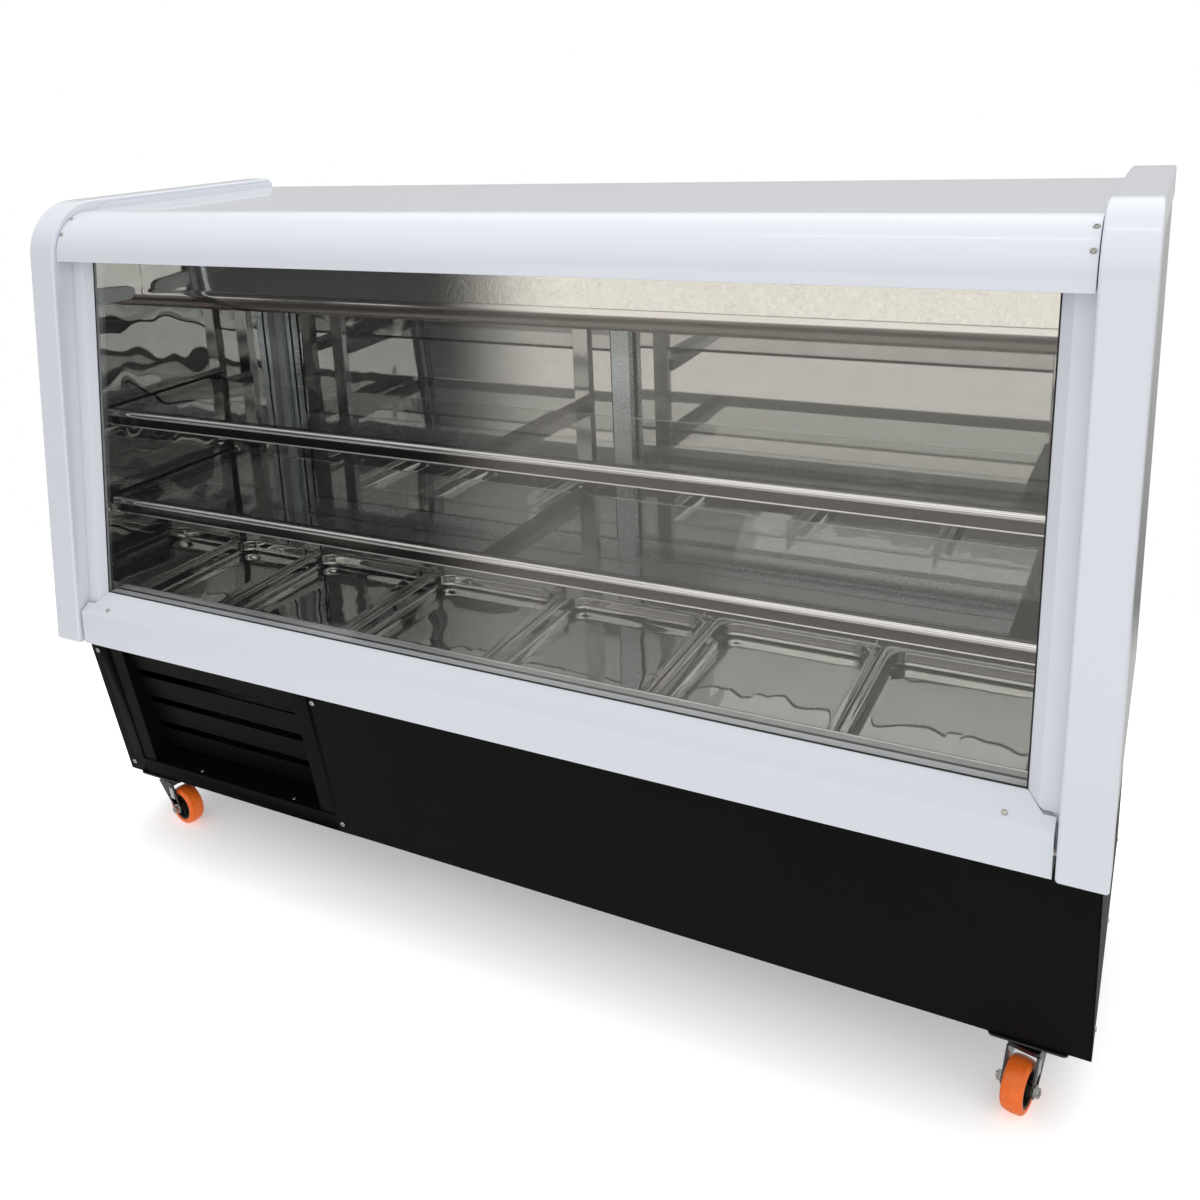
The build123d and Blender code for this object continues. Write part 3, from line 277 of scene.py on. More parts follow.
def settle(name, mesh, body, nodes=(), bevel=0, segments=2, sharp=32):
    """Clean a mesh, smooth its shading, round its sharp edges and set it on its body."""
    work = bmesh.new()
    work.from_mesh(mesh)
    bmesh.ops.remove_doubles(work, verts=work.verts, dist=1e-6)
    bmesh.ops.recalc_face_normals(work, faces=work.faces)
    work.to_mesh(mesh)
    work.free()
    mesh.polygons.foreach_set("use_smooth", [True] * len(mesh.polygons))
    if not bevel:
        mesh.set_sharp_from_angle(angle=math.radians(sharp))
    obj = bpy.data.objects.new(name, mesh)
    bpy.context.scene.collection.objects.link(obj)
    if bevel:
        rounding = obj.modifiers.new("rounded_edges", "BEVEL")
        rounding.width = bevel * MM
        rounding.segments = segments
        rounding.angle_limit = math.radians(sharp)
        rounding.use_clamp_overlap = True
        weighted = obj.modifiers.new("even_shading", "WEIGHTED_NORMAL")
        weighted.keep_sharp = True
        weighted.weight = 100
    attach(obj, body)
    if nodes:
        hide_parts(*nodes)
    return obj


class Nodes:
    """Short ways to add nodes to a tree. Every value is a socket or a constant."""

    def __init__(self, tree):
        self.tree = tree

    def node(self, kind, **settings):
        made = self.tree.nodes.new("ShaderNode" + kind)
        for key, value in settings.items():
            setattr(made, key, value)
        return made

    def link(self, start, end):
        self.tree.links.new(start, end)

    def feed(self, socket, value):
        if isinstance(value, bpy.types.NodeSocket):
            self.link(value, socket)
        else:
            socket.default_value = value

    def math(self, operation, first, second=0):
        made = self.node("Math", operation=operation)
        self.feed(made.inputs[0], first)
        self.feed(made.inputs[1], second)
        return made.outputs[0]

    def mix(self, share, first, second, blend="MIX"):
        """Colour between two colours, or their sum if blend is ADD."""
        made = self.node("Mix", data_type="RGBA", blend_type=blend)
        self.feed(made.inputs["Factor"], share)
        for socket, colour in zip((made.inputs[6], made.inputs[7]), (first, second)):
            self.feed(socket, (*colour, 1) if isinstance(colour, tuple) else colour)
        return made.outputs[2]

    def spread(self, value, low, high, start=0.3, end=0.7, **settings):
        """Map a value from start..end to low..high."""
        made = self.node("MapRange", **settings)
        for key, number in zip(("From Min", "From Max", "To Min", "To Max"), (start, end, low, high)):
            made.inputs[key].default_value = number
        self.link(value, made.inputs["Value"])
        return made.outputs["Result"]


class Finish(Nodes):
    """Node tree of one material, with short ways to add noise, bumps and clearness."""

    def __init__(self, name, colour=(0.8, 0.8, 0.8), **values):
        self.material = bpy.data.materials.new(name)
        self.material.use_nodes = True
        super().__init__(self.material.node_tree)
        self.shader = self.tree.nodes["Principled BSDF"]
        self.output = self.tree.nodes["Material Output"]
        self.shader.inputs["Base Color"].default_value = (*colour, 1)
        for key, value in values.items():
            self.shader.inputs[key.replace("_", " ")].default_value = value
        self.normal = None

    def coordinates(self, stretch=(1, 1, 1)):
        source = self.node("TexCoord")
        mapping = self.node("Mapping")
        mapping.inputs["Scale"].default_value = stretch
        self.link(source.outputs["Object"], mapping.inputs["Vector"])
        return mapping.outputs["Vector"]

    def noise(self, scale, detail=3, stretch=(1, 1, 1), distortion=0):
        made = self.node("TexNoise")
        made.inputs["Scale"].default_value = scale
        made.inputs["Detail"].default_value = detail
        made.inputs["Distortion"].default_value = distortion
        self.link(self.coordinates(stretch), made.inputs["Vector"])
        return made.outputs["Fac"]

    def vector(self, operation, value, amount=(0, 0, 0)):
        """Vector maths: a number for a length, else a vector."""
        made = self.node("VectorMath", operation=operation)
        self.link(value, made.inputs[0])
        made.inputs[1].default_value = amount
        return made.outputs["Value" if operation == "LENGTH" else "Vector"]

    def set(self, name, socket):
        self.link(socket, self.shader.inputs[name])

    def bump(self, value, distance, strength=1):
        """Raise the surface by a value, on top of the bumps that are already there."""
        made = self.node("Bump")
        made.inputs["Distance"].default_value = distance
        made.inputs["Strength"].default_value = strength
        self.link(value, made.inputs["Height"])
        if self.normal is not None:
            self.link(self.normal, made.inputs["Normal"])
        self.normal = made.outputs["Normal"]
        self.set("Normal", self.normal)

    def see_through(self, share, colour=(1, 1, 1)):
        """Mix a share of clear see-through into the surface."""
        clear = self.node("BsdfTransparent")
        clear.inputs["Color"].default_value = (*colour, 1)
        mix = self.node("MixShader")
        self.link(share, mix.inputs["Fac"])
        self.link(self.shader.outputs["BSDF"], mix.inputs[1])
        self.link(clear.outputs["BSDF"], mix.inputs[2])
        self.link(mix.outputs["Shader"], self.output.inputs["Surface"])


def enamel(name, colour, shade, roughness, coat, peel=0.00002, shine=0.5):
    """Stove enamel: even colour with faint patches, a light orange peel and handling marks."""
    finish = Finish(name, colour, Coat_Weight=coat, Coat_Roughness=0.05, Specular_IOR_Level=shine)
    patches = finish.mix(finish.spread(finish.noise(2.3, 5), 0, 1), colour, shade)
    dust = finish.spread(finish.noise(900, 2), 0, 0.35, 0.66, 0.74)
    worn = tuple(0.93 * channel + 0.004 for channel in colour)
    finish.set("Base Color", finish.mix(dust, patches, worn))
    marks = finish.noise(7, 8, distortion=0.6)
    finish.set("Roughness", finish.spread(marks, roughness * 0.95, roughness * 1.08))
    finish.bump(finish.noise(260, 2), peel)
    finish.bump(finish.noise(5, 0), 0.0003, 0.4)
    return finish.material


def steel(name, colour, shade, roughness, grain=(1, 1, 1), waves=0.0, scratch=0.0000002, smear=0.03):
    """Bare metal: tone patches, fine grain along the rolling direction and slow waves."""
    finish = Finish(name, colour, Metallic=1)
    finish.set("Base Color", finish.mix(finish.spread(finish.noise(3.1, 6), 0, 1), colour, shade))
    lines = finish.noise(60, 6, grain)
    smears = finish.spread(finish.noise(6, 4, distortion=1.2), 0, smear)
    grained = finish.spread(lines, roughness * 0.75, roughness * 1.35)
    finish.set("Roughness", finish.math("ADD", grained, smears))
    finish.bump(lines, scratch)
    if waves:
        finish.bump(finish.noise(5, 1.5, distortion=0.4), waves)
    return finish.material


def pane(name, tint, smear, edge=False, mirror=0.0):
    """Clear glass that lets the light of lamps through, with faint wiping marks."""
    finish = Finish(name, tint, IOR=1.5, Transmission_Weight=1, Metallic=mirror)
    marks = finish.noise(9, 7, (1, 1, 2.5), 1.5)
    finish.set("Roughness", finish.spread(marks, 0.0, smear, 0.45, 0.8))
    finish.set("Base Color", finish.mix(finish.spread(marks, 0, 1), tint, tuple(0.97 * c for c in tint)))
    if edge:
        finish.bump(finish.noise(180, 3), 0.00005)
    rays = finish.node("LightPath")
    finish.see_through(rays.outputs["Is Shadow Ray"], tint)
    return finish.material


def plastic(name, colour, shade, roughness, grain=900, depth=0.00002):
    """Moulded plastic or rubber with a fine grain."""
    finish = Finish(name, colour)
    finish.set("Base Color", finish.mix(finish.spread(finish.noise(14, 5), 0, 1), colour, shade))
    finish.set("Roughness", finish.spread(finish.noise(30, 6), roughness * 0.8, roughness * 1.3))
    finish.bump(finish.noise(grain, 2), depth)
    return finish.material


def hammered():
    """Stucco-embossed sheet of the evaporator housing."""
    finish = Finish("hammered_sheet", (0.8, 0.79, 0.76), Metallic=1)
    relief = finish.noise(95, 4, distortion=1.8)
    tone = finish.mix(finish.spread(relief, 0, 1), (0.84, 0.83, 0.8), (0.74, 0.73, 0.7))
    finish.set("Base Color", tone)
    finish.set("Roughness", finish.spread(relief, 0.03, 0.09))
    finish.bump(relief, 0.00005)
    return finish.material


def tread():
    """Orange polyurethane with a little road dust in the middle of the tread."""
    colour, shade = (1.0, 0.19, 0.02), (0.96, 0.16, 0.014)
    finish = Finish("orange_polyurethane", colour, Subsurface_Weight=0.06, Subsurface_Scale=0.004)
    tone = finish.mix(finish.spread(finish.noise(40, 4), 0, 1), colour, shade)
    dust = finish.spread(finish.noise(260, 5), 0, 0.4, 0.6, 0.72)
    finish.set("Base Color", finish.mix(dust, tone, (0.5, 0.2, 0.1)))
    finish.set("Roughness", finish.spread(finish.noise(120, 5), 0.2, 0.42))
    finish.bump(finish.noise(500, 3), 0.00004)
    return finish.material


WHITE = enamel("white_enamel_gloss", (0.78, 0.81, 0.87), (0.76, 0.79, 0.855), 0.16, 0.6)
BLACK = enamel(
    "black_enamel_satin", (0.004, 0.004, 0.004), (0.0055, 0.0055, 0.0053), 0.45, 0.0, 0.00004, 0.06,
)
GLOSS_BLACK = enamel("black_enamel_gloss", (0.006, 0.006, 0.007), (0.01, 0.01, 0.01), 0.2, 0.5)
MIRROR = steel(
    "mirror_polished_steel", (0.62, 0.61, 0.585), (0.56, 0.55, 0.525), 0.007, (1, 5, 1), 0.0005,
    scratch=0.0000001, smear=0.004,
)
CHROME = steel("bright_chrome", (0.83, 0.81, 0.79), (0.76, 0.74, 0.72), 0.05, (0.2, 4, 4))
SIDE_STEEL = steel("satin_side_steel", (0.6, 0.6, 0.6), (0.52, 0.52, 0.52), 0.16, (1, 1, 8))
DARK = steel("dark_bracket_metal", (0.07, 0.07, 0.072), (0.055, 0.055, 0.055), 0.2, (1.5, 0.5, 1.5))
BRACKET = steel("polished_bracket_steel", (0.4, 0.4, 0.39), (0.33, 0.33, 0.32), 0.1, (8, 8, 0.5))
ALUMINIUM = steel(
    "anodised_aluminium", (0.46, 0.5, 0.52), (0.44, 0.48, 0.5), 0.22, (7, 7, 7), scratch=0.00000005,
)
FINS = steel("fin_aluminium", (0.55, 0.56, 0.57), (0.42, 0.43, 0.44), 0.3, (1, 1, 8))
COPPER = steel("copper_tube", (0.72, 0.38, 0.22), (0.5, 0.25, 0.14), 0.25)
ZINC = steel("zinc_plate", (0.68, 0.67, 0.63), (0.52, 0.51, 0.49), 0.18, (3, 3, 3))
BROWN_STEEL = steel("drip_edge_steel", (0.3, 0.26, 0.23), (0.22, 0.19, 0.16), 0.12, (0.3, 3, 3))
STRIP = steel("shelf_strip", (0.06, 0.052, 0.046), (0.04, 0.034, 0.03), 0.08, (0.3, 3, 3))
HAMMERED = hammered()
GLASS = pane("clear_glass", (0.965, 0.97, 0.965), 0.006)
SHELF_GLASS = pane("shelf_glass", (0.88, 0.9, 0.885), 0.006)
DOOR_GLASS = pane("mirrored_door_glass", (0.56, 0.56, 0.545), 0.003, mirror=0.75)
GLASS_EDGE = pane("glass_edge", (0.24, 0.36, 0.31), 0.3, edge=True)
PLASTIC = plastic("black_plastic", (0.012, 0.012, 0.012), (0.018, 0.018, 0.018), 0.4)
RUBBER = plastic("black_rubber", (0.009, 0.009, 0.009), (0.014, 0.014, 0.014), 0.6, 600, 0.00004)
OPAL = plastic("opal_lamp", (0.82, 0.84, 0.84), (0.74, 0.77, 0.78), 0.25, 300, 0.00001)
PALE = plastic("pale_plate", (0.55, 0.55, 0.52), (0.42, 0.43, 0.4), 0.35)
TYRE = tread()


def cap_outline():
    """Side outline of an end cap, its corners still sharp."""
    inner = TOP - CAP_BAND
    top_setback = math.tan(math.radians(CAP_LEAN)) * (TOP - BODY_FOOT)
    return [
        (0, BODY_FOOT),
        (top_setback, TOP),
        (BODY_REAR, TOP),
        (BODY_REAR, inner),
        (glass_setback(inner, STILE_BACK), inner),
        (glass_setback(BODY_FOOT, STILE_BACK), BODY_FOOT),
    ]


def end_caps():
    """White bands round both ends, with rounded edges."""
    outline = rounded(cap_outline(), {0: 6, 1: CAP_ARC, 4: CAP_ARC / 2}, 28)
    for side, name in ((-1, "end_cap_left"), (1, "end_cap_right")):
        shape = Shape()
        shape.prism(outline, side * (HALF_LENGTH - CAP_WIDTH), side * HALF_LENGTH)
        shape.piece(name + "_shell", [WHITE], "white_enamel", nodes=[name], bevel=CAP_EDGE, segments=5)


def fascia_outline():
    """Side outline of the top panel, from the foot of the fascia over the curve to the rear."""
    lean = math.tan(math.radians(FASCIA_LEAN))
    return rounded([
        (FASCIA_SETBACK, FASCIA_FOOT),
        (FASCIA_SETBACK + lean * (TOP_SURFACE - FASCIA_FOOT), TOP_SURFACE),
        (BODY_REAR, TOP_SURFACE),
        (BODY_REAR, TOP_UNDERSIDE),
        (glass_setback(TOP_UNDERSIDE, -1), TOP_UNDERSIDE),
        (glass_setback(FASCIA_FOOT, -1), FASCIA_FOOT),
    ], {1: FASCIA_ARC}, 28)


def top_panel():
    """Top with its rolled fascia and the upturned flanges."""
    outline = fascia_outline()
    shape = Shape()
    shape.prism(outline, -TOP_HALF, TOP_HALF)
    foot, head = TOP_SURFACE - 1, TOP_SURFACE + 10
    flange = rounded([(175, foot), (205, head), (BODY_REAR, head), (BODY_REAR, foot)], {1: 12}, 5)
    for side in (-1, 1):
        shape.prism(flange, side * (TOP_HALF - SHEET), side * TOP_HALF)
    shape.piece("top_panel_shell", [WHITE], "white_enamel", nodes=["top_panel"], bevel=1.2, segments=3)


def front_rail():
    """Lower rail with its sloping sill, mitred to the stiles."""
    outline = rounded([
        (GLASS_SETBACK - 0.4, GLASS_FOOT),
        (30, 512.5),
        (12, 500),
        (9, BODY_FOOT),
        (glass_setback(BODY_FOOT, STILE_BACK), BODY_FOOT),
        (glass_setback(GLASS_FOOT, STILE_BACK), GLASS_FOOT),
    ], {1: 12, 2: 5}, 8)

    def end(setback, z):
        if setback < RAIL_NOSE_BACK:
            return RAIL_HALF
        return RAIL_HALF - max(0, z - (GLASS_FOOT - MITRE_DROP)) * (RAIL_HALF - GLASS_HALF_SIGHT) / MITRE_DROP

    shape = Shape()
    shape.prism(outline, lambda y, z: -end(y, z), end)
    shape.piece("front_rail_shell", [WHITE], "white_enamel", nodes=["front_rail"], bevel=0.9)


def glass_stiles():
    """Upright frames at both edges of the glass, with a bevel towards the pane."""
    outer, pane_edge = GLASS_HALF_SIGHT + STILE_WIDTH, GLASS_HALF_SIGHT + 12.3
    section = [
        (outer, -STILE_PROUD), (GLASS_HALF_SIGHT + STILE_BEVEL, -STILE_PROUD), (GLASS_HALF_SIGHT, 0),
        (pane_edge, 0), (pane_edge, STILE_BACK), (outer, STILE_BACK),
    ]
    slope = MITRE_DROP / (RAIL_HALF - GLASS_HALF_SIGHT)
    shape = Shape()
    for side in (-1, 1):
        rings = []
        for top in (False, True):
            ring = []
            for x, behind in section:
                drop = min((x - GLASS_HALF_SIGHT) * slope, MITRE_DROP)
                z = FASCIA_FOOT - 0.2 if top else GLASS_FOOT - drop
                ring.append(place(side * x, glass_setback(z, behind), z))
            rings.append(ring)
        shape.rings(rings)
    shape.piece("glass_stile_shells", [WHITE], "white_enamel", nodes=["glass_stiles"], bevel=1.1, segments=3)


def glazing_seals():
    """Dark sealing lines along the foot and both sides of the glass."""
    shape = Shape()
    foot = GLASS_FOOT + 1.2
    setback = glass_setback(foot, -0.5)
    shape.tube([place(side * GLASS_HALF_SIGHT, setback, foot) for side in (-1, 1)], SEAL_RADIUS, 6)
    for side in (-1, 1):
        x = side * (GLASS_HALF_SIGHT - 0.2)
        ends = [place(x, glass_setback(z, -0.4), z) for z in (GLASS_FOOT, FASCIA_FOOT)]
        shape.tube(ends, SEAL_RADIUS, 6)
    shape.piece("glazing_seals", [RUBBER], "black_plastic")


def screw_head(shape, centre, normal, radius=5, height=2.6, tint=0):
    """Pan head with a cross recess, from rings whose points sink inside the cross."""
    normal = Vector(normal).normalized()
    side = normal.orthogonal().normalized()
    up = normal.cross(side)
    steps, rows = 40, 12
    rings = []
    for row in range(rows):
        share = 1 - row / (rows - 0.2)
        dome = height * math.sqrt(max(0.0, 1 - share ** 4))
        ring = []
        for step in range(steps):
            angle = 2 * math.pi * step / steps
            u, v = radius * share * math.cos(angle), radius * share * math.sin(angle)
            narrow, reach = min(abs(u), abs(v)), max(abs(u), abs(v))
            sunk = narrow < CROSS_HALF_WIDTH * radius and reach < CROSS_REACH * radius
            level = dome - (CROSS_DEPTH * height if sunk else 0)
            ring.append(centre + (side * u + up * v + normal * level) * MM)
        rings.append(ring)
    shape.rings([[point - normal * 0.4 * MM for point in rings[0]]] + rings, tint)


def fascia_point(z):
    """Setback and outward normal of the fascia at height z on its curved part."""
    outline = fascia_outline()
    for (y0, z0), (y1, z1) in zip(outline, outline[1:]):
        if z0 <= z <= z1 and y0 < BODY_REAR / 2:
            share = (z - z0) / max(z1 - z0, 1e-6)
            return y0 + share * (y1 - y0), Vector((0, z0 - z1, y1 - y0)).normalized()
    return FASCIA_SETBACK, Vector((0, -1, 0))


def small_screws():
    """Screws at the fascia's ends, in the rail, in the grille's ledge and in the sides."""
    shape = Shape()
    for side in (-1, 1):
        for z in (1187, 1211):
            setback, normal = fascia_point(z)
            screw_head(shape, place(side * (TOP_HALF - 6), setback, z), normal, 4.2, 2)
        screw_head(shape, place(side * 778, 22.6, 508), (0, -1, 1.6), 4, 1.8)
    for x in (-700, -470):
        screw_head(shape, place(x, base_setback(140, 12), 140), (0, 0, 1), 3.5, 1.6)
    for side in (-1, 1):
        for setback in (160, 400, 620):
            screw_head(shape, place(side * (HALF_LENGTH - 8), setback, 120), (side, 0, 0), 4, 2)
    shape.piece("small_screws", [ZINC], "zinc", sharp=50)


def wavy(u, v, length, seed):
    """Smooth waves about one unit high; length is about that of one wave."""
    return noise.fractal(Vector((u / length, v / length, seed)), 0.9, 2.1, 3)


def end_liners():
    """Mirror-polished linings of both end walls: bowed as thin sheet is, and flat beside the pans."""
    columns, rows = 90, 100
    width = columns + 1
    for side, name in ((-1, "end_liner_left"), (1, "end_liner_right")):
        points = []
        for row in range(rows + 1):
            z = 468 + (TOP_UNDERSIDE - 470) * row / rows
            start, end = glass_setback(z, STILE_BACK + 1), REAR_INNER - 1
            for column in range(columns + 1):
                setback = start + (end - start) * column / columns
                fade = min(1, 8 * min(column, columns - column) / columns, 8 * (rows - row) / rows)
                fade = max(0, min(fade, (z - PAN_TRAVEL_TOP) / LINER_FADE))
                wave = LINER_WAVE * wavy(setback, z, LINER_WAVE_LENGTH, 3.7 + side)
                points.append(place(side * (WALL_FACE - 1.1 - fade * wave), setback, z))
        firsts = [row * width + column for row in range(rows) for column in range(columns)]
        shape = Shape()
        shape.add(points, [(a, a + 1, a + width + 1, a + width) for a in firsts])
        shape.piece(name, [MIRROR], "polished_steel")


def rounded_ring(centre, half_width, half_length, radius, z, per_corner=12):
    """Points round a rounded rectangle at height z."""
    radius = min(radius, half_width - 1, half_length - 1)
    ring = []
    for number, (sx, sy) in enumerate(((1, 1), (-1, 1), (-1, -1), (1, -1))):
        cx, cy = centre[0] + sx * (half_width - radius), centre[1] + sy * (half_length - radius)
        for step in range(per_corner + 1):
            angle = math.pi / 2 * (number + step / per_corner)
            ring.append((cx + radius * math.cos(angle), cy + radius * math.sin(angle), z))
    return ring


def pan_profile(reach):
    """Section of a pan from rim to middle: inset from its edge, level over the deck, corner radius."""
    wall, level, corner = PAN_SECTION[-1]
    profile = list(PAN_SECTION)
    for step in range(1, 9):
        angle = math.pi / 2 * step / 8
        inset = wall + PAN_TURN * (1 - math.cos(angle))
        profile.append((inset, level - PAN_TURN * math.sin(angle), max(8, corner - (inset - wall))))
    for step in range(1, 14):
        share = step / 14
        inset = wall + PAN_TURN + share * (reach - 26)
        profile.append((inset, level - PAN_TURN + 0.5 * share, max(3, 22 * (1 - share))))
    return profile


def pans():
    """Pressed pans: a rolled rim, drawn corners and a floor that is never quite flat."""
    lowest = DECK - PAN_DEPTH + 1.2
    for number, (low, high) in enumerate(zip(PAN_EDGES, PAN_EDGES[1:]), start=1):
        centre = ((low + high) / 2, (PAN_FRONT + PAN_REAR) / 2)
        half_width, half_length = (high - low) / 2 - 2, (PAN_REAR - PAN_FRONT) / 2
        rings = []
        for inset, level, radius in pan_profile(min(half_width, half_length)):
            ring = []
            corners = rounded_ring(centre, half_width - inset, half_length - inset, radius, DECK + level)
            for x, setback, z in corners:
                if level < -15 and inset > 20:
                    wave = PAN_WAVE * wavy(x, setback, PAN_WAVE_LENGTH, number * 5.3)
                    z += (wave + 0.5) * min(1, (inset - 20) / 20)
                ring.append(place(x, setback, max(z, lowest)))
            rings.append(ring)
        under = [[point - UP * 0.9 * MM for point in ring] for ring in rings]
        name = f"pan_{number}"
        shape = Shape()
        shape.rings(rings[::-1] + under)
        shape.piece(name + "_pressed", [MIRROR], "polished_steel", name, [name], sharp=60)


def circle(centre, radius, steps=28):
    """Outline of a circle of (setback, z)."""
    angles = [2 * math.pi * step / steps for step in range(steps)]
    return [(centre[0] + radius * math.cos(a), centre[1] + radius * math.sin(a)) for a in angles]


def shelf_fronts():
    """Bright front rods, each over a folded strip with a beaded lower edge."""
    shape = Shape()
    for top, front in SHELVES.values():
        z = top - 7
        shape.prism(circle((front, z), 7), -SHELF_HALF, SHELF_HALF)
        strip = rounded([
            (front - 1.2, z), (front - 1.2, z - 20), (front - 2.0, z - 24),
            (front + 2.0, z - 24), (front + 1.6, z),
        ], {2: 1.2, 3: 1.2}, 4)
        shape.prism(strip, -SHELF_HALF, SHELF_HALF, 1)
        shape.prism(circle((front - 0.2, z - 22.2), 1.75, 12), -SHELF_HALF, SHELF_HALF)
    shape.piece("shelf_front_rods", [CHROME, STRIP], "chrome_rail", nodes=["shelf_rails"], sharp=40)


def shelf_clips():
    """Clips that hold the rods on the arms, and rubber pads under the glass."""
    clips, pads = Shape(), Shape()
    for top, front in SHELVES.values():
        under = top - 6
        for x in (-780, 0, 780):
            hook = rounded([
                (front + 7.2, under - 15), (front + 20, under - 17),
                (front + 24, under - 1), (front + 7.2, under - 1),
            ], {0: 3, 1: 4}, 4)
            clips.prism(hook, x - 23, x - 20.2)
            clips.prism(hook, x + 20.2, x + 23)
            for setback in (front + 60, front + 170):
                pads.box((x - 6, x + 6), (setback - 6, setback + 6), (under - 0.6, under + 0.2))
    clips.piece("shelf_clips", [CHROME], "chrome_rail", bevel=0.5)
    pads.piece("shelf_pads", [RUBBER], "black_plastic")


def housing_trim():
    """Drip lip of the evaporator housing, and the guard under its fan with four screws."""
    shape = Shape()
    gutter = rounded([
        (247.2, 1052), (249.8, 1058), (249.8, 1066), (247.4, 1066), (246.2, 1060),
    ], {0: 0.8}, 4)
    shape.prism(gutter, -WALL_FACE + 3, WALL_FACE - 3)
    shape.piece("housing_drip_lip", [CHROME], "housing_steel", bevel=0.4)
    guard = Shape()
    centre = place(0, 400, HEADER_FOOT - 5)
    for radius in (18, 34, 50, 66, 82):
        guard.tube(ring_points(centre, ACROSS, REARWARD, radius, 48), 1.2, 8, loop=True)
    for arm in range(4):
        angle = math.pi / 4 + math.pi / 2 * arm
        way = Vector((math.cos(angle), math.sin(angle), 0))
        lift = UP * 2.2 * MM
        guard.tube([centre + lift + way * 12 * MM, centre + lift + way * 94 * MM], 1.6, 8)
        screw_head(guard, centre + way * 94 * MM + UP * 3.6 * MM, (0, 0, -1), 4, 2)
    guard.piece("evaporator_fan_guard", [ZINC], "zinc", sharp=50)


def wall_clip():
    """White moulded clip on the left wall, just behind the glass."""
    outline = rounded([
        (130, 1084), (214, 1077), (236, 1065), (214, 1051), (146, 1053), (130, 1064),
    ], {0: 5, 1: 10, 2: 10, 3: 12, 4: 8, 5: 5}, 6)
    shape = Shape()
    shape.prism(outline, -WALL_FACE + 0.5, -WALL_FACE + 9)
    shape.piece("wall_clip", [OPAL], "white_enamel", bevel=2.5, segments=4)


def condenser_details():
    """Fins, tubes, fan ring and fan guard of the condensing unit."""
    x, z, half, ring = -640, 262, 165, 112
    left, right, foot, head = x - half, x + half, 108, 405
    pitch = 5
    fins = Shape()
    for start in range(left + pitch, right, pitch):
        fins.box((start, start + 0.6), (206, 242), (118, 396))
    full, side = (foot, head), (left, right)
    case = (((left, left + 3), full), ((right - 3, right), full), (side, (396, head)), (side, (foot, 118)))
    for width, height in case:
        fins.box(width, (205, 243), height, 1)
    for row in range(6):
        height = 140 + row * 46
        for setback in (215, 233):
            fins.tube([place(end, setback, height) for end in (left + 2, right - 2)], 4.5, 12, 2)
    middle = (x - ring, x + ring)
    cover = (
        ((left, x - ring), full), ((x + ring, right), full),
        (middle, (foot, z - ring)), (middle, (z + ring, head)),
    )
    for width, height in cover:
        fins.box(width, (243, 245), height, 1)
    shroud = ((245, ring), (292, ring), (292, ring + 2), (245, ring + 2), (245, ring))
    rings = [ring_points(place(x, setback, z), ACROSS, UP, radius, 64) for setback, radius in shroud]
    fins.rings(rings, 1, close=False)
    fins.piece("condenser_core", [FINS, BLACK, COPPER], "fin_aluminium", nodes=["condenser"])
    guard = Shape()
    for radius in (30, 55, 80, 104):
        guard.tube(ring_points(place(x, 292.5, z), ACROSS, UP, radius, 56), 1.3, 8, loop=True)
    guard.piece("condenser_fan_guard", [ZINC], "zinc", sharp=50)


def caster_frame(name):
    """Matrix of a caster: origin under the swivel axis, X along the axle, wheel towards -Y."""
    x, y, angle = CASTERS[name]
    return Matrix.Translation(Vector((x, y, 0)) * MM) @ Matrix.Rotation(math.radians(angle), 4, "Z")


def tyre_profile():
    """Closed section of a tyre: way along the axle and radius, with a moulding seam in the tread."""
    half, shoulder, start = WHEEL_WIDTH / 2, 6, 31
    angles = [math.pi / 2 * step / 8 for step in range(9)]
    profile = [(-half + 0.3, 27.2), (-half, 28.2), (-half, start)]
    for angle in angles:
        profile.append((-half + shoulder - shoulder * math.cos(angle), start + shoulder * math.sin(angle)))
    profile += [(-4, 37.7), (-0.9, 37.85), (-0.45, 37.98), (0.45, 37.98), (0.9, 37.85), (4, 37.7)]
    for angle in reversed(angles):
        profile.append((half - shoulder + shoulder * math.cos(angle), start + shoulder * math.sin(angle)))
    profile += [(half, start), (half, 28.2), (half - 0.3, 27.2), (half - 1.5, 27.02), (-half + 1.5, 27.02)]
    return profile + profile[:1]


def hub_ribs(centre, axle):
    """Six ribs on each side of a hub."""
    side = axle.orthogonal().normalized()
    up = axle.cross(side)
    ribs = Shape()
    for way in (-1, 1):
        base = centre + axle * way * 4 * MM
        for number in range(6):
            angle = math.pi / 3 * number
            radial = side * math.cos(angle) + up * math.sin(angle)
            across = radial.cross(axle)
            corners = []
            for depth, reach in ((0, 8.5), (0, 23.2), (7.5, 23.2), (4.5, 8.5)):
                corners.append(base + axle * way * depth * MM + radial * reach * MM)
            ribs.rings([[corner + across * shift * 1.3 * MM for corner in corners] for shift in (-1, 1)])
    return ribs


def axle_washers(centre, axle):
    """Washers under the axle bolt's head and nut, and the rounded end of the bolt."""
    washers = Shape()
    section = [(0, 4.2), (0, 9.5), (1.0, 9.5), (1.2, 9.1), (1.2, 4.2)]
    for way in (1, -1):
        washers.lathe(section, centre + axle * way * 21.9 * MM, axle * way, 28)
    washers.lathe([(0, 3.0), (1.2, 3.8), (1.8, 2.4), (2.2, 0.6)], centre + axle * 27.8 * MM, axle, 20)
    return washers


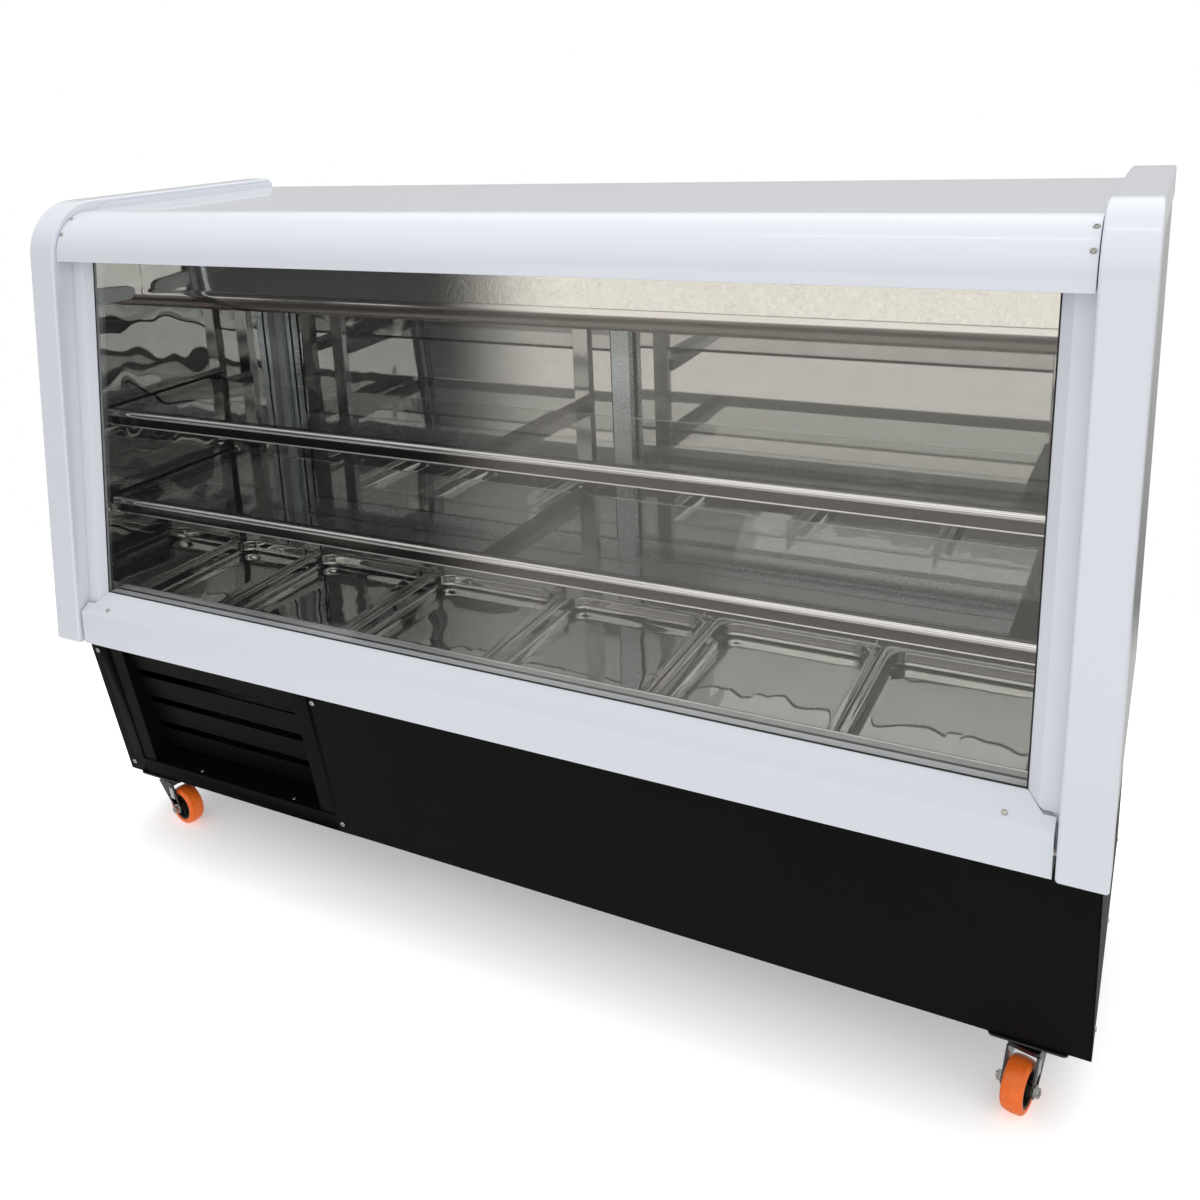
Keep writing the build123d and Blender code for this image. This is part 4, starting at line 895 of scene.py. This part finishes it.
def fork_plates(turn):
    """Blank plate on each leg of a fork."""
    plates = Shape()
    corners = ((-26, 78), (-14, 78), (-17, 56), (-30, 56))
    for way in (1, -1):
        rings = []
        for reach in (22, 22.35):
            rings.append([turn @ (Vector((way * reach, y, z)) * MM) for y, z in corners])
        plates.rings(rings)
    return plates


def casters():
    """Tyres, hub ribs, axle washers and the blank plates on the forks."""
    for name in CASTERS:
        turn = caster_frame(name)
        centre = turn @ (Vector((0, -TRAIL, WHEEL_RADIUS)) * MM)
        axle = turn.to_3x3() @ ACROSS
        wheel, fork = f"wheel_{name}", f"caster_{name}"
        tyre = Shape()
        tyre.lathe(tyre_profile(), centre, axle, 72, close=False)
        tyre.piece(f"tyre_{name}", [TYRE], "orange_tread", wheel, [f"caster_tyre_{name}"], sharp=45)
        hub_ribs(centre, axle).piece(f"hub_ribs_{name}", [PLASTIC], "black_plastic", wheel, bevel=0.5)
        axle_washers(centre, axle).piece(f"axle_washers_{name}", [ZINC], "zinc", fork, sharp=40)
        fork_plates(turn).piece(f"fork_plates_{name}", [PALE], "dark_metal", fork, bevel=0.1)


def pull_trims():
    """Linings of the pulls let into both rear doors."""
    for body, x, rear in (("inner_door", -786.5, 624), ("outer_door", 786.5, 648)):
        trim = Shape()
        low, high, height = x - 7.9, x + 7.9, (706, 815.5)
        for width in ((low, low + 1.4), (high - 1.4, high)):
            trim.box(width, (rear - 5.8, rear - 0.1), height)
        trim.box((low, high), (rear - 5.9, rear - 5.2), height)
        trim.piece(f"{body}_pull_trim", [PLASTIC], "black_plastic", body, bevel=0.4)


def door_seals():
    """Brush seals on the upright edges of the doors: ends in X, front and rear setback."""
    seals = {
        "inner_door": [(-803.8, -768.8, 605.1, 606), (-15.6, 19.4, 624, 624.4)],
        "outer_door": [(-19.4, 15.6, 629.6, 630), (768.8, 803.8, 648, 648.4)],
    }
    for body, strips in seals.items():
        seal = Shape()
        for low, high, front, rear in strips:
            middle = (low + high) / 2
            seal.box((middle - 2, middle + 2), (front, rear), (505, 1014))
        seal.piece(f"{body}_seals", [RUBBER], "black_plastic", body)


def door_beads():
    """Rubber beads round both faces of the door panes."""
    for body, low, high, front in (("inner_door", -804.5, 20, 606), ("outer_door", -20, 804.5, 630)):
        beads = Shape()
        left, right, foot, head = low + 36, high - 36, 533.5, 988
        upright, level = (foot, head), (left + 3, right - 3)
        for face in (front + 2.2, front + 15.1):
            depth = (face, face + 0.8)
            beads.box((left, left + 3), depth, upright)
            beads.box((right - 3, right), depth, upright)
            beads.box(level, depth, (foot, foot + 3))
            beads.box(level, depth, (head - 3, head))
        beads.piece(f"{body}_glazing_beads", [RUBBER], "black_plastic", body, bevel=0.2)


def rear_screws():
    """Screws in the base's rear sheet, the rear frame and the control plate."""
    screws = Shape()
    for x in range(-840, 841, 210):
        for z in (122, 424):
            screw_head(screws, place(x, BODY_REAR, z), REARWARD, 4.5, 2.2)
    for x in (-760, -380, 0, 380, 760):
        screw_head(screws, place(x, BODY_REAR, 1110), REARWARD, 4.5, 2.2)
        screw_head(screws, place(x, BODY_REAR, 480), REARWARD, 4, 2)
    for x in (512, 608):
        for z in (303, 357):
            screw_head(screws, place(x, BODY_REAR + 2, z), REARWARD, 3, 1.6)
    screws.piece("rear_screws", [ZINC], "zinc", sharp=50)


def dial_marks():
    """Eight pale marks round the thermostat's knob, the first and last a little longer."""
    marks = Shape()
    middle = place(560, BODY_REAR + 2, 330)
    for number in range(8):
        angle = math.radians(225 - number * 38.5)
        way = Vector((-math.cos(angle), 0, math.sin(angle)))
        half = Vector((way.z, 0, -way.x)) * 0.5 * MM
        inner, outer = middle + way * 22 * MM, middle + way * (27 if number % 7 else 29) * MM
        ring = [inner - half, outer - half, outer + half, inner + half]
        marks.rings([ring, [point + REARWARD * 0.3 * MM for point in ring]])
    marks.piece("dial_marks", [PALE], "dark_metal")


def slot_hoods():
    """Slanted hoods inside the air slots of the base's rear sheet."""
    face = BODY_REAR - 2
    hoods = Shape()
    for x in (-740, -560):
        for z in range(190, 317, 18):
            hood = [(face, z + 6), (face, z + 5.2), (face - 7, z - 1), (face - 7.6, z - 0.4)]
            hoods.prism(hood, x, x + 150)
    hoods.piece("air_slot_hoods", [BLACK], "black_enamel")


def copied(node, finishes, bevel, tint=None, sharp=28, body="cabinet"):
    """A node's own shape with its flat faces joined and its edges rounded over a little."""
    work = bmesh.new()
    work.from_mesh(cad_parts[node].data)
    bmesh.ops.remove_doubles(work, verts=work.verts, dist=1e-6)
    bmesh.ops.dissolve_limit(work, angle_limit=math.radians(0.5), verts=work.verts, edges=work.edges)
    mesh = bpy.data.meshes.new(node + "_detailed")
    for face in work.faces:
        face.material_index = tint(face) if tint else 0
    work.to_mesh(mesh)
    work.free()
    for finish in finishes:
        mesh.materials.append(finish)
    return settle(node + "_detailed", mesh, body, [node], bevel, 2, sharp)


def wall_tint(face):
    """Outer faces of the end walls are satin sheet, the rest is mirror-polished."""
    centre = face.calc_center_median()
    return 1 if abs(centre.x) > (HALF_LENGTH - 10) * MM else 0


def glass_tint(face):
    """Narrow faces of a pane are its ground edges."""
    return 1 if face.calc_area() < 0.02 else 0


def housing_tint(face):
    """The housing's front is hammered, its sloping edge brown steel and the rest polished."""
    centre = face.calc_center_median()
    front = centre.y < (249 - HALF_DEPTH + 2) * MM
    slope = not front and centre.y < (262 - HALF_DEPTH + 3) * MM
    if slope:
        return 1
    return 0 if front else 2


def dress_frame():
    """Finishes and rounded edges for the nodes whose shape is already right."""
    black = (
        "base_front_panel", "louvre_frame", "louvre_insert",
        "base_side_panels", "base_rear_panel", "base_floor",
    )
    for node in black:
        copied(node, [BLACK], 0.8)
    copied("caster_plates", [GLOSS_BLACK], 0.8)
    copied("deck_liner", [MIRROR], 0.3)
    copied("deck_dividers", [MIRROR], 0.4)
    copied("insulated_floor", [MIRROR], 0.5)
    for side in ("left", "right"):
        copied(f"end_wall_{side}", [MIRROR, SIDE_STEEL], 1.0, wall_tint)
    copied("rear_frame", [WHITE], 1.0)
    copied("shelf_arms", [DARK], 1.2)
    copied("shelf_uprights", [BRACKET], 1.5)
    copied("door_tracks", [ALUMINIUM], 0.3)
    housing = [HAMMERED, BROWN_STEEL, MIRROR]
    copied("evaporator_housing", housing, 0.4, housing_tint)
    copied("lamp_holders", [OPAL], 3)
    copied("front_glass", [GLASS, GLASS_EDGE], 0.6, glass_tint)
    for level in SHELVES:
        copied(f"shelf_glass_{level}", [SHELF_GLASS, GLASS_EDGE], 0.8, glass_tint)
    copied("control_plate", [ALUMINIUM], 0.5)
    for side, body in (("left", "inner_door"), ("right", "outer_door")):
        copied(f"door_frame_{side}", [ALUMINIUM], 0, body=body)
        copied(f"door_pane_{side}", [DOOR_GLASS, GLASS_EDGE], 0.4, glass_tint, body=body)
    for name in CASTERS:
        fork = [GLOSS_BLACK, ZINC]
        copied(f"caster_fork_{name}", fork, 0.9, fork_tint(name), 40, f"caster_{name}")
        copied(f"caster_hub_{name}", [PLASTIC], 0.5, None, 40, f"wheel_{name}")
    plain = {
        "evaporator_coil": FINS, "evaporator_fan": PLASTIC, "condenser_fan": PLASTIC,
        "fan_motors": GLOSS_BLACK, "compressor": GLOSS_BLACK, "lamp_tube": OPAL,
        "fasteners": ZINC, "cable_gland": PLASTIC, "thermostat_knob": PLASTIC,
    }
    for node, finish in plain.items():
        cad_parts[node].material_slots[0].material = finish


def fork_tint(name):
    """The axle bolt and nut are zinc-plated, the fork is black."""
    turn = caster_frame(name).inverted()

    def tint(face):
        reach = max(abs((turn @ vert.co).x) for vert in face.verts)
        local = turn @ face.calc_center_median()
        distance = math.hypot(local.y + TRAIL * MM, local.z - WHEEL_RADIUS * MM)
        on_bolt = reach > 22.05 * MM and distance < 9 * MM
        return 1 if on_bolt or distance < 4.2 * MM else 0

    return tint


def stage():
    """Pale floor that fades into the white surroundings away from the counter, with a painted shadow: it
    glows less under and near the counter.
    """
    mesh = bpy.data.meshes.new("studio_floor")
    corners = [(x * FLOOR_REACH, y * FLOOR_REACH, 0) for x, y in ((-1, -1), (1, -1), (1, 1), (-1, 1))]
    mesh.from_pydata(corners, [], [(0, 1, 2, 3)])
    floor = bpy.data.objects.new("studio_floor", mesh)
    bpy.context.scene.collection.objects.link(floor)
    finish = Finish("pale_floor", (0.9, 0.9, 0.9), Roughness=0.75, Emission_Color=(1, 1, 1, 1))
    patches = finish.spread(finish.noise(0.7, 4), 0, 1)
    finish.set("Base Color", finish.mix(patches, (0.91, 0.91, 0.91), (0.89, 0.89, 0.89)))
    # Painted shadow: the floor's glow is weaker over the counter's footprint and grows to full within 0.25 m
    # beyond it.
    past_painted_shadow = finish.vector("ABSOLUTE", finish.coordinates())
    past_painted_shadow = finish.vector("SUBTRACT", past_painted_shadow, PAINTED_SHADOW_FOOTPRINT)
    past_painted_shadow = finish.vector("LENGTH", finish.vector("MAXIMUM", past_painted_shadow))
    finish.set("Emission Strength", finish.spread(past_painted_shadow, 0.34, 0.74, 0, 0.25))
    away = finish.vector("LENGTH", finish.coordinates((0.62, 1, 1)))
    rays = finish.node("LightPath")
    fade = finish.spread(away, 0, 1, 0.7, 1.7)
    dimmed = finish.spread(rays.outputs["Is Camera Ray"], 0.7, 0, 0, 1)
    finish.see_through(finish.math("MAXIMUM", fade, dimmed))
    mesh.materials.append(finish.material)


def softbox(name, location, target, width, height, energy):
    """White area lamp aimed at a target; places and sizes in metres, energy in watts."""
    light = bpy.data.lights.new(name, "AREA")
    light.shape = "RECTANGLE"
    light.size, light.size_y = width, height
    light.energy = energy
    obj = bpy.data.objects.new(name, light)
    obj.location = location
    way = Vector(target) - Vector(location)
    obj.rotation_mode = "QUATERNION"
    obj.rotation_quaternion = way.to_track_quat("-Z", "Y")
    bpy.context.scene.collection.objects.link(obj)
    return obj


class Sky(Nodes):
    """The room that reflections see, by direction."""

    def __init__(self, tree):
        super().__init__(tree)
        split = self.node("SeparateXYZ")
        self.link(self.node("TexCoord").outputs["Generated"], split.inputs["Vector"])
        self.x, self.y, self.z = (split.outputs[axis] for axis in "XYZ")

    def step(self, value, start, end, low=0, high=1):
        """Smooth change from low at start to high at end."""
        return self.spread(value, low, high, start, end, interpolation_type="SMOOTHSTEP")

    def band(self, value, start, end, edge):
        """One from start to end and zero beyond, with edges of that width."""
        return self.times(self.step(value, start, start + edge), self.step(value, end, end + edge, 1, 0))

    def chain(self, operation, values):
        total = values[0]
        for value in values[1:]:
            total = self.math(operation, total, value)
        return total

    def times(self, *values):
        return self.chain("MULTIPLY", values)

    def lights(self):
        """Neutral light from all sides and the windows, and the warm wall in front."""
        turned = self.math("ARCTAN2", self.math("MULTIPLY", self.x, -1), self.math("MULTIPLY", self.y, -1))
        across = self.times(self.step(turned, *FRONT_LEFT, 1, 0), self.step(turned, *FRONT_RIGHT))
        height = self.times(self.step(self.z, -0.44, -0.24), self.step(self.z, 0.12, 0.3, 1, 0))
        front = self.times(across, height, FRONT_LEVEL)
        sideways = self.step(self.math("ABSOLUTE", self.x), 0.7, 0.95)
        neutral = [
            self.step(self.z, 0.1, 0.75, OVERHEAD_LOW, OVERHEAD_HIGH),
            self.step(self.z, -0.5, -0.02, 0.15, 0),
            self.times(self.step(self.y, 0.2, 0.7), self.step(self.z, -0.5, -0.08), BACK_LEVEL),
            self.times(sideways, self.step(self.z, -0.3, 0.1), SIDE_LEVEL),
        ]
        for right, left, low, high, level in WINDOWS:
            window = self.times(self.band(turned, right, left, 0.015), self.band(self.z, low, high, 0.01))
            neutral.append(self.times(window, level))
        return self.chain("ADD", neutral), front


def studio():
    """White surroundings for the camera, a darker room for reflections, even light for the rest."""
    world = bpy.data.worlds.new("studio")
    bpy.context.scene.world = world
    world.use_nodes = True
    sky = Sky(world.node_tree)
    neutral, front = sky.lights()
    warm = sky.mix(front, (0, 0, 0), (1, 0.95, 0.88))
    room = sky.mix(1, neutral, warm, "ADD")
    rays = sky.node("LightPath").outputs
    mirrored = sky.math("MAXIMUM", rays["Is Glossy Ray"], rays["Is Transmission Ray"])
    lit = sky.mix(mirrored, (EVEN_LEVEL, EVEN_LEVEL, EVEN_LEVEL), room)
    seen = sky.mix(rays["Is Camera Ray"], lit, (1, 1, 1))
    sky.link(seen, sky.tree.nodes["Background"].inputs["Color"])
    softbox("key", (0.9, -3.6, 3.2), (0.1, 0, 0.7), 5, 2.2, 18).visible_glossy = False
    softbox("top", (0, 0.2, 3.6), (0, 0.1, 0), 5, 2.4, 30).visible_glossy = False
    softbox("tube", (1.15, -0.5, 3.4), (1.15, -0.5, 0), 3, 0.05, 2)
    softbox("right", (4.2, -1.2, 1.8), (0, 0, 0.8), 1.6, 2.4, 9).visible_glossy = False


def camera():
    """Camera at the photograph's place: turned left, tipped down and rolled a little."""
    data = bpy.data.cameras.new("camera")
    obj = bpy.data.objects.new("camera", data)
    bpy.context.scene.collection.objects.link(obj)
    level = Vector((math.cos(YAW), math.sin(YAW), 0))
    ahead = Vector((-math.sin(YAW), math.cos(YAW), 0)) * math.cos(PITCH)
    forward = ahead - UP * math.sin(PITCH)
    down = forward.cross(level)
    right = level * math.cos(ROLL) + down * math.sin(ROLL)
    below = down * math.cos(ROLL) - level * math.sin(ROLL)
    turn = Matrix((right, -below, -forward)).transposed()
    obj.matrix_world = Matrix.Translation(place(*CAMERA_PLACE)) @ turn.to_4x4()
    data.sensor_width = SENSOR
    data.lens = FOCAL / IMAGE * SENSOR
    data.shift_x = (IMAGE / 2 - IMAGE_CENTRE[0]) / IMAGE
    data.shift_y = (IMAGE_CENTRE[1] - IMAGE / 2) / IMAGE
    bpy.context.scene.camera = obj


end_caps()
top_panel()
front_rail()
glass_stiles()
glazing_seals()
small_screws()
end_liners()
pans()
shelf_fronts()
shelf_clips()
housing_trim()
wall_clip()
condenser_details()
casters()
pull_trims()
door_seals()
door_beads()
rear_screws()
dial_marks()
slot_hoods()
dress_frame()
stage()
studio()
camera()
bpy.context.scene.view_settings.view_transform = "Standard"
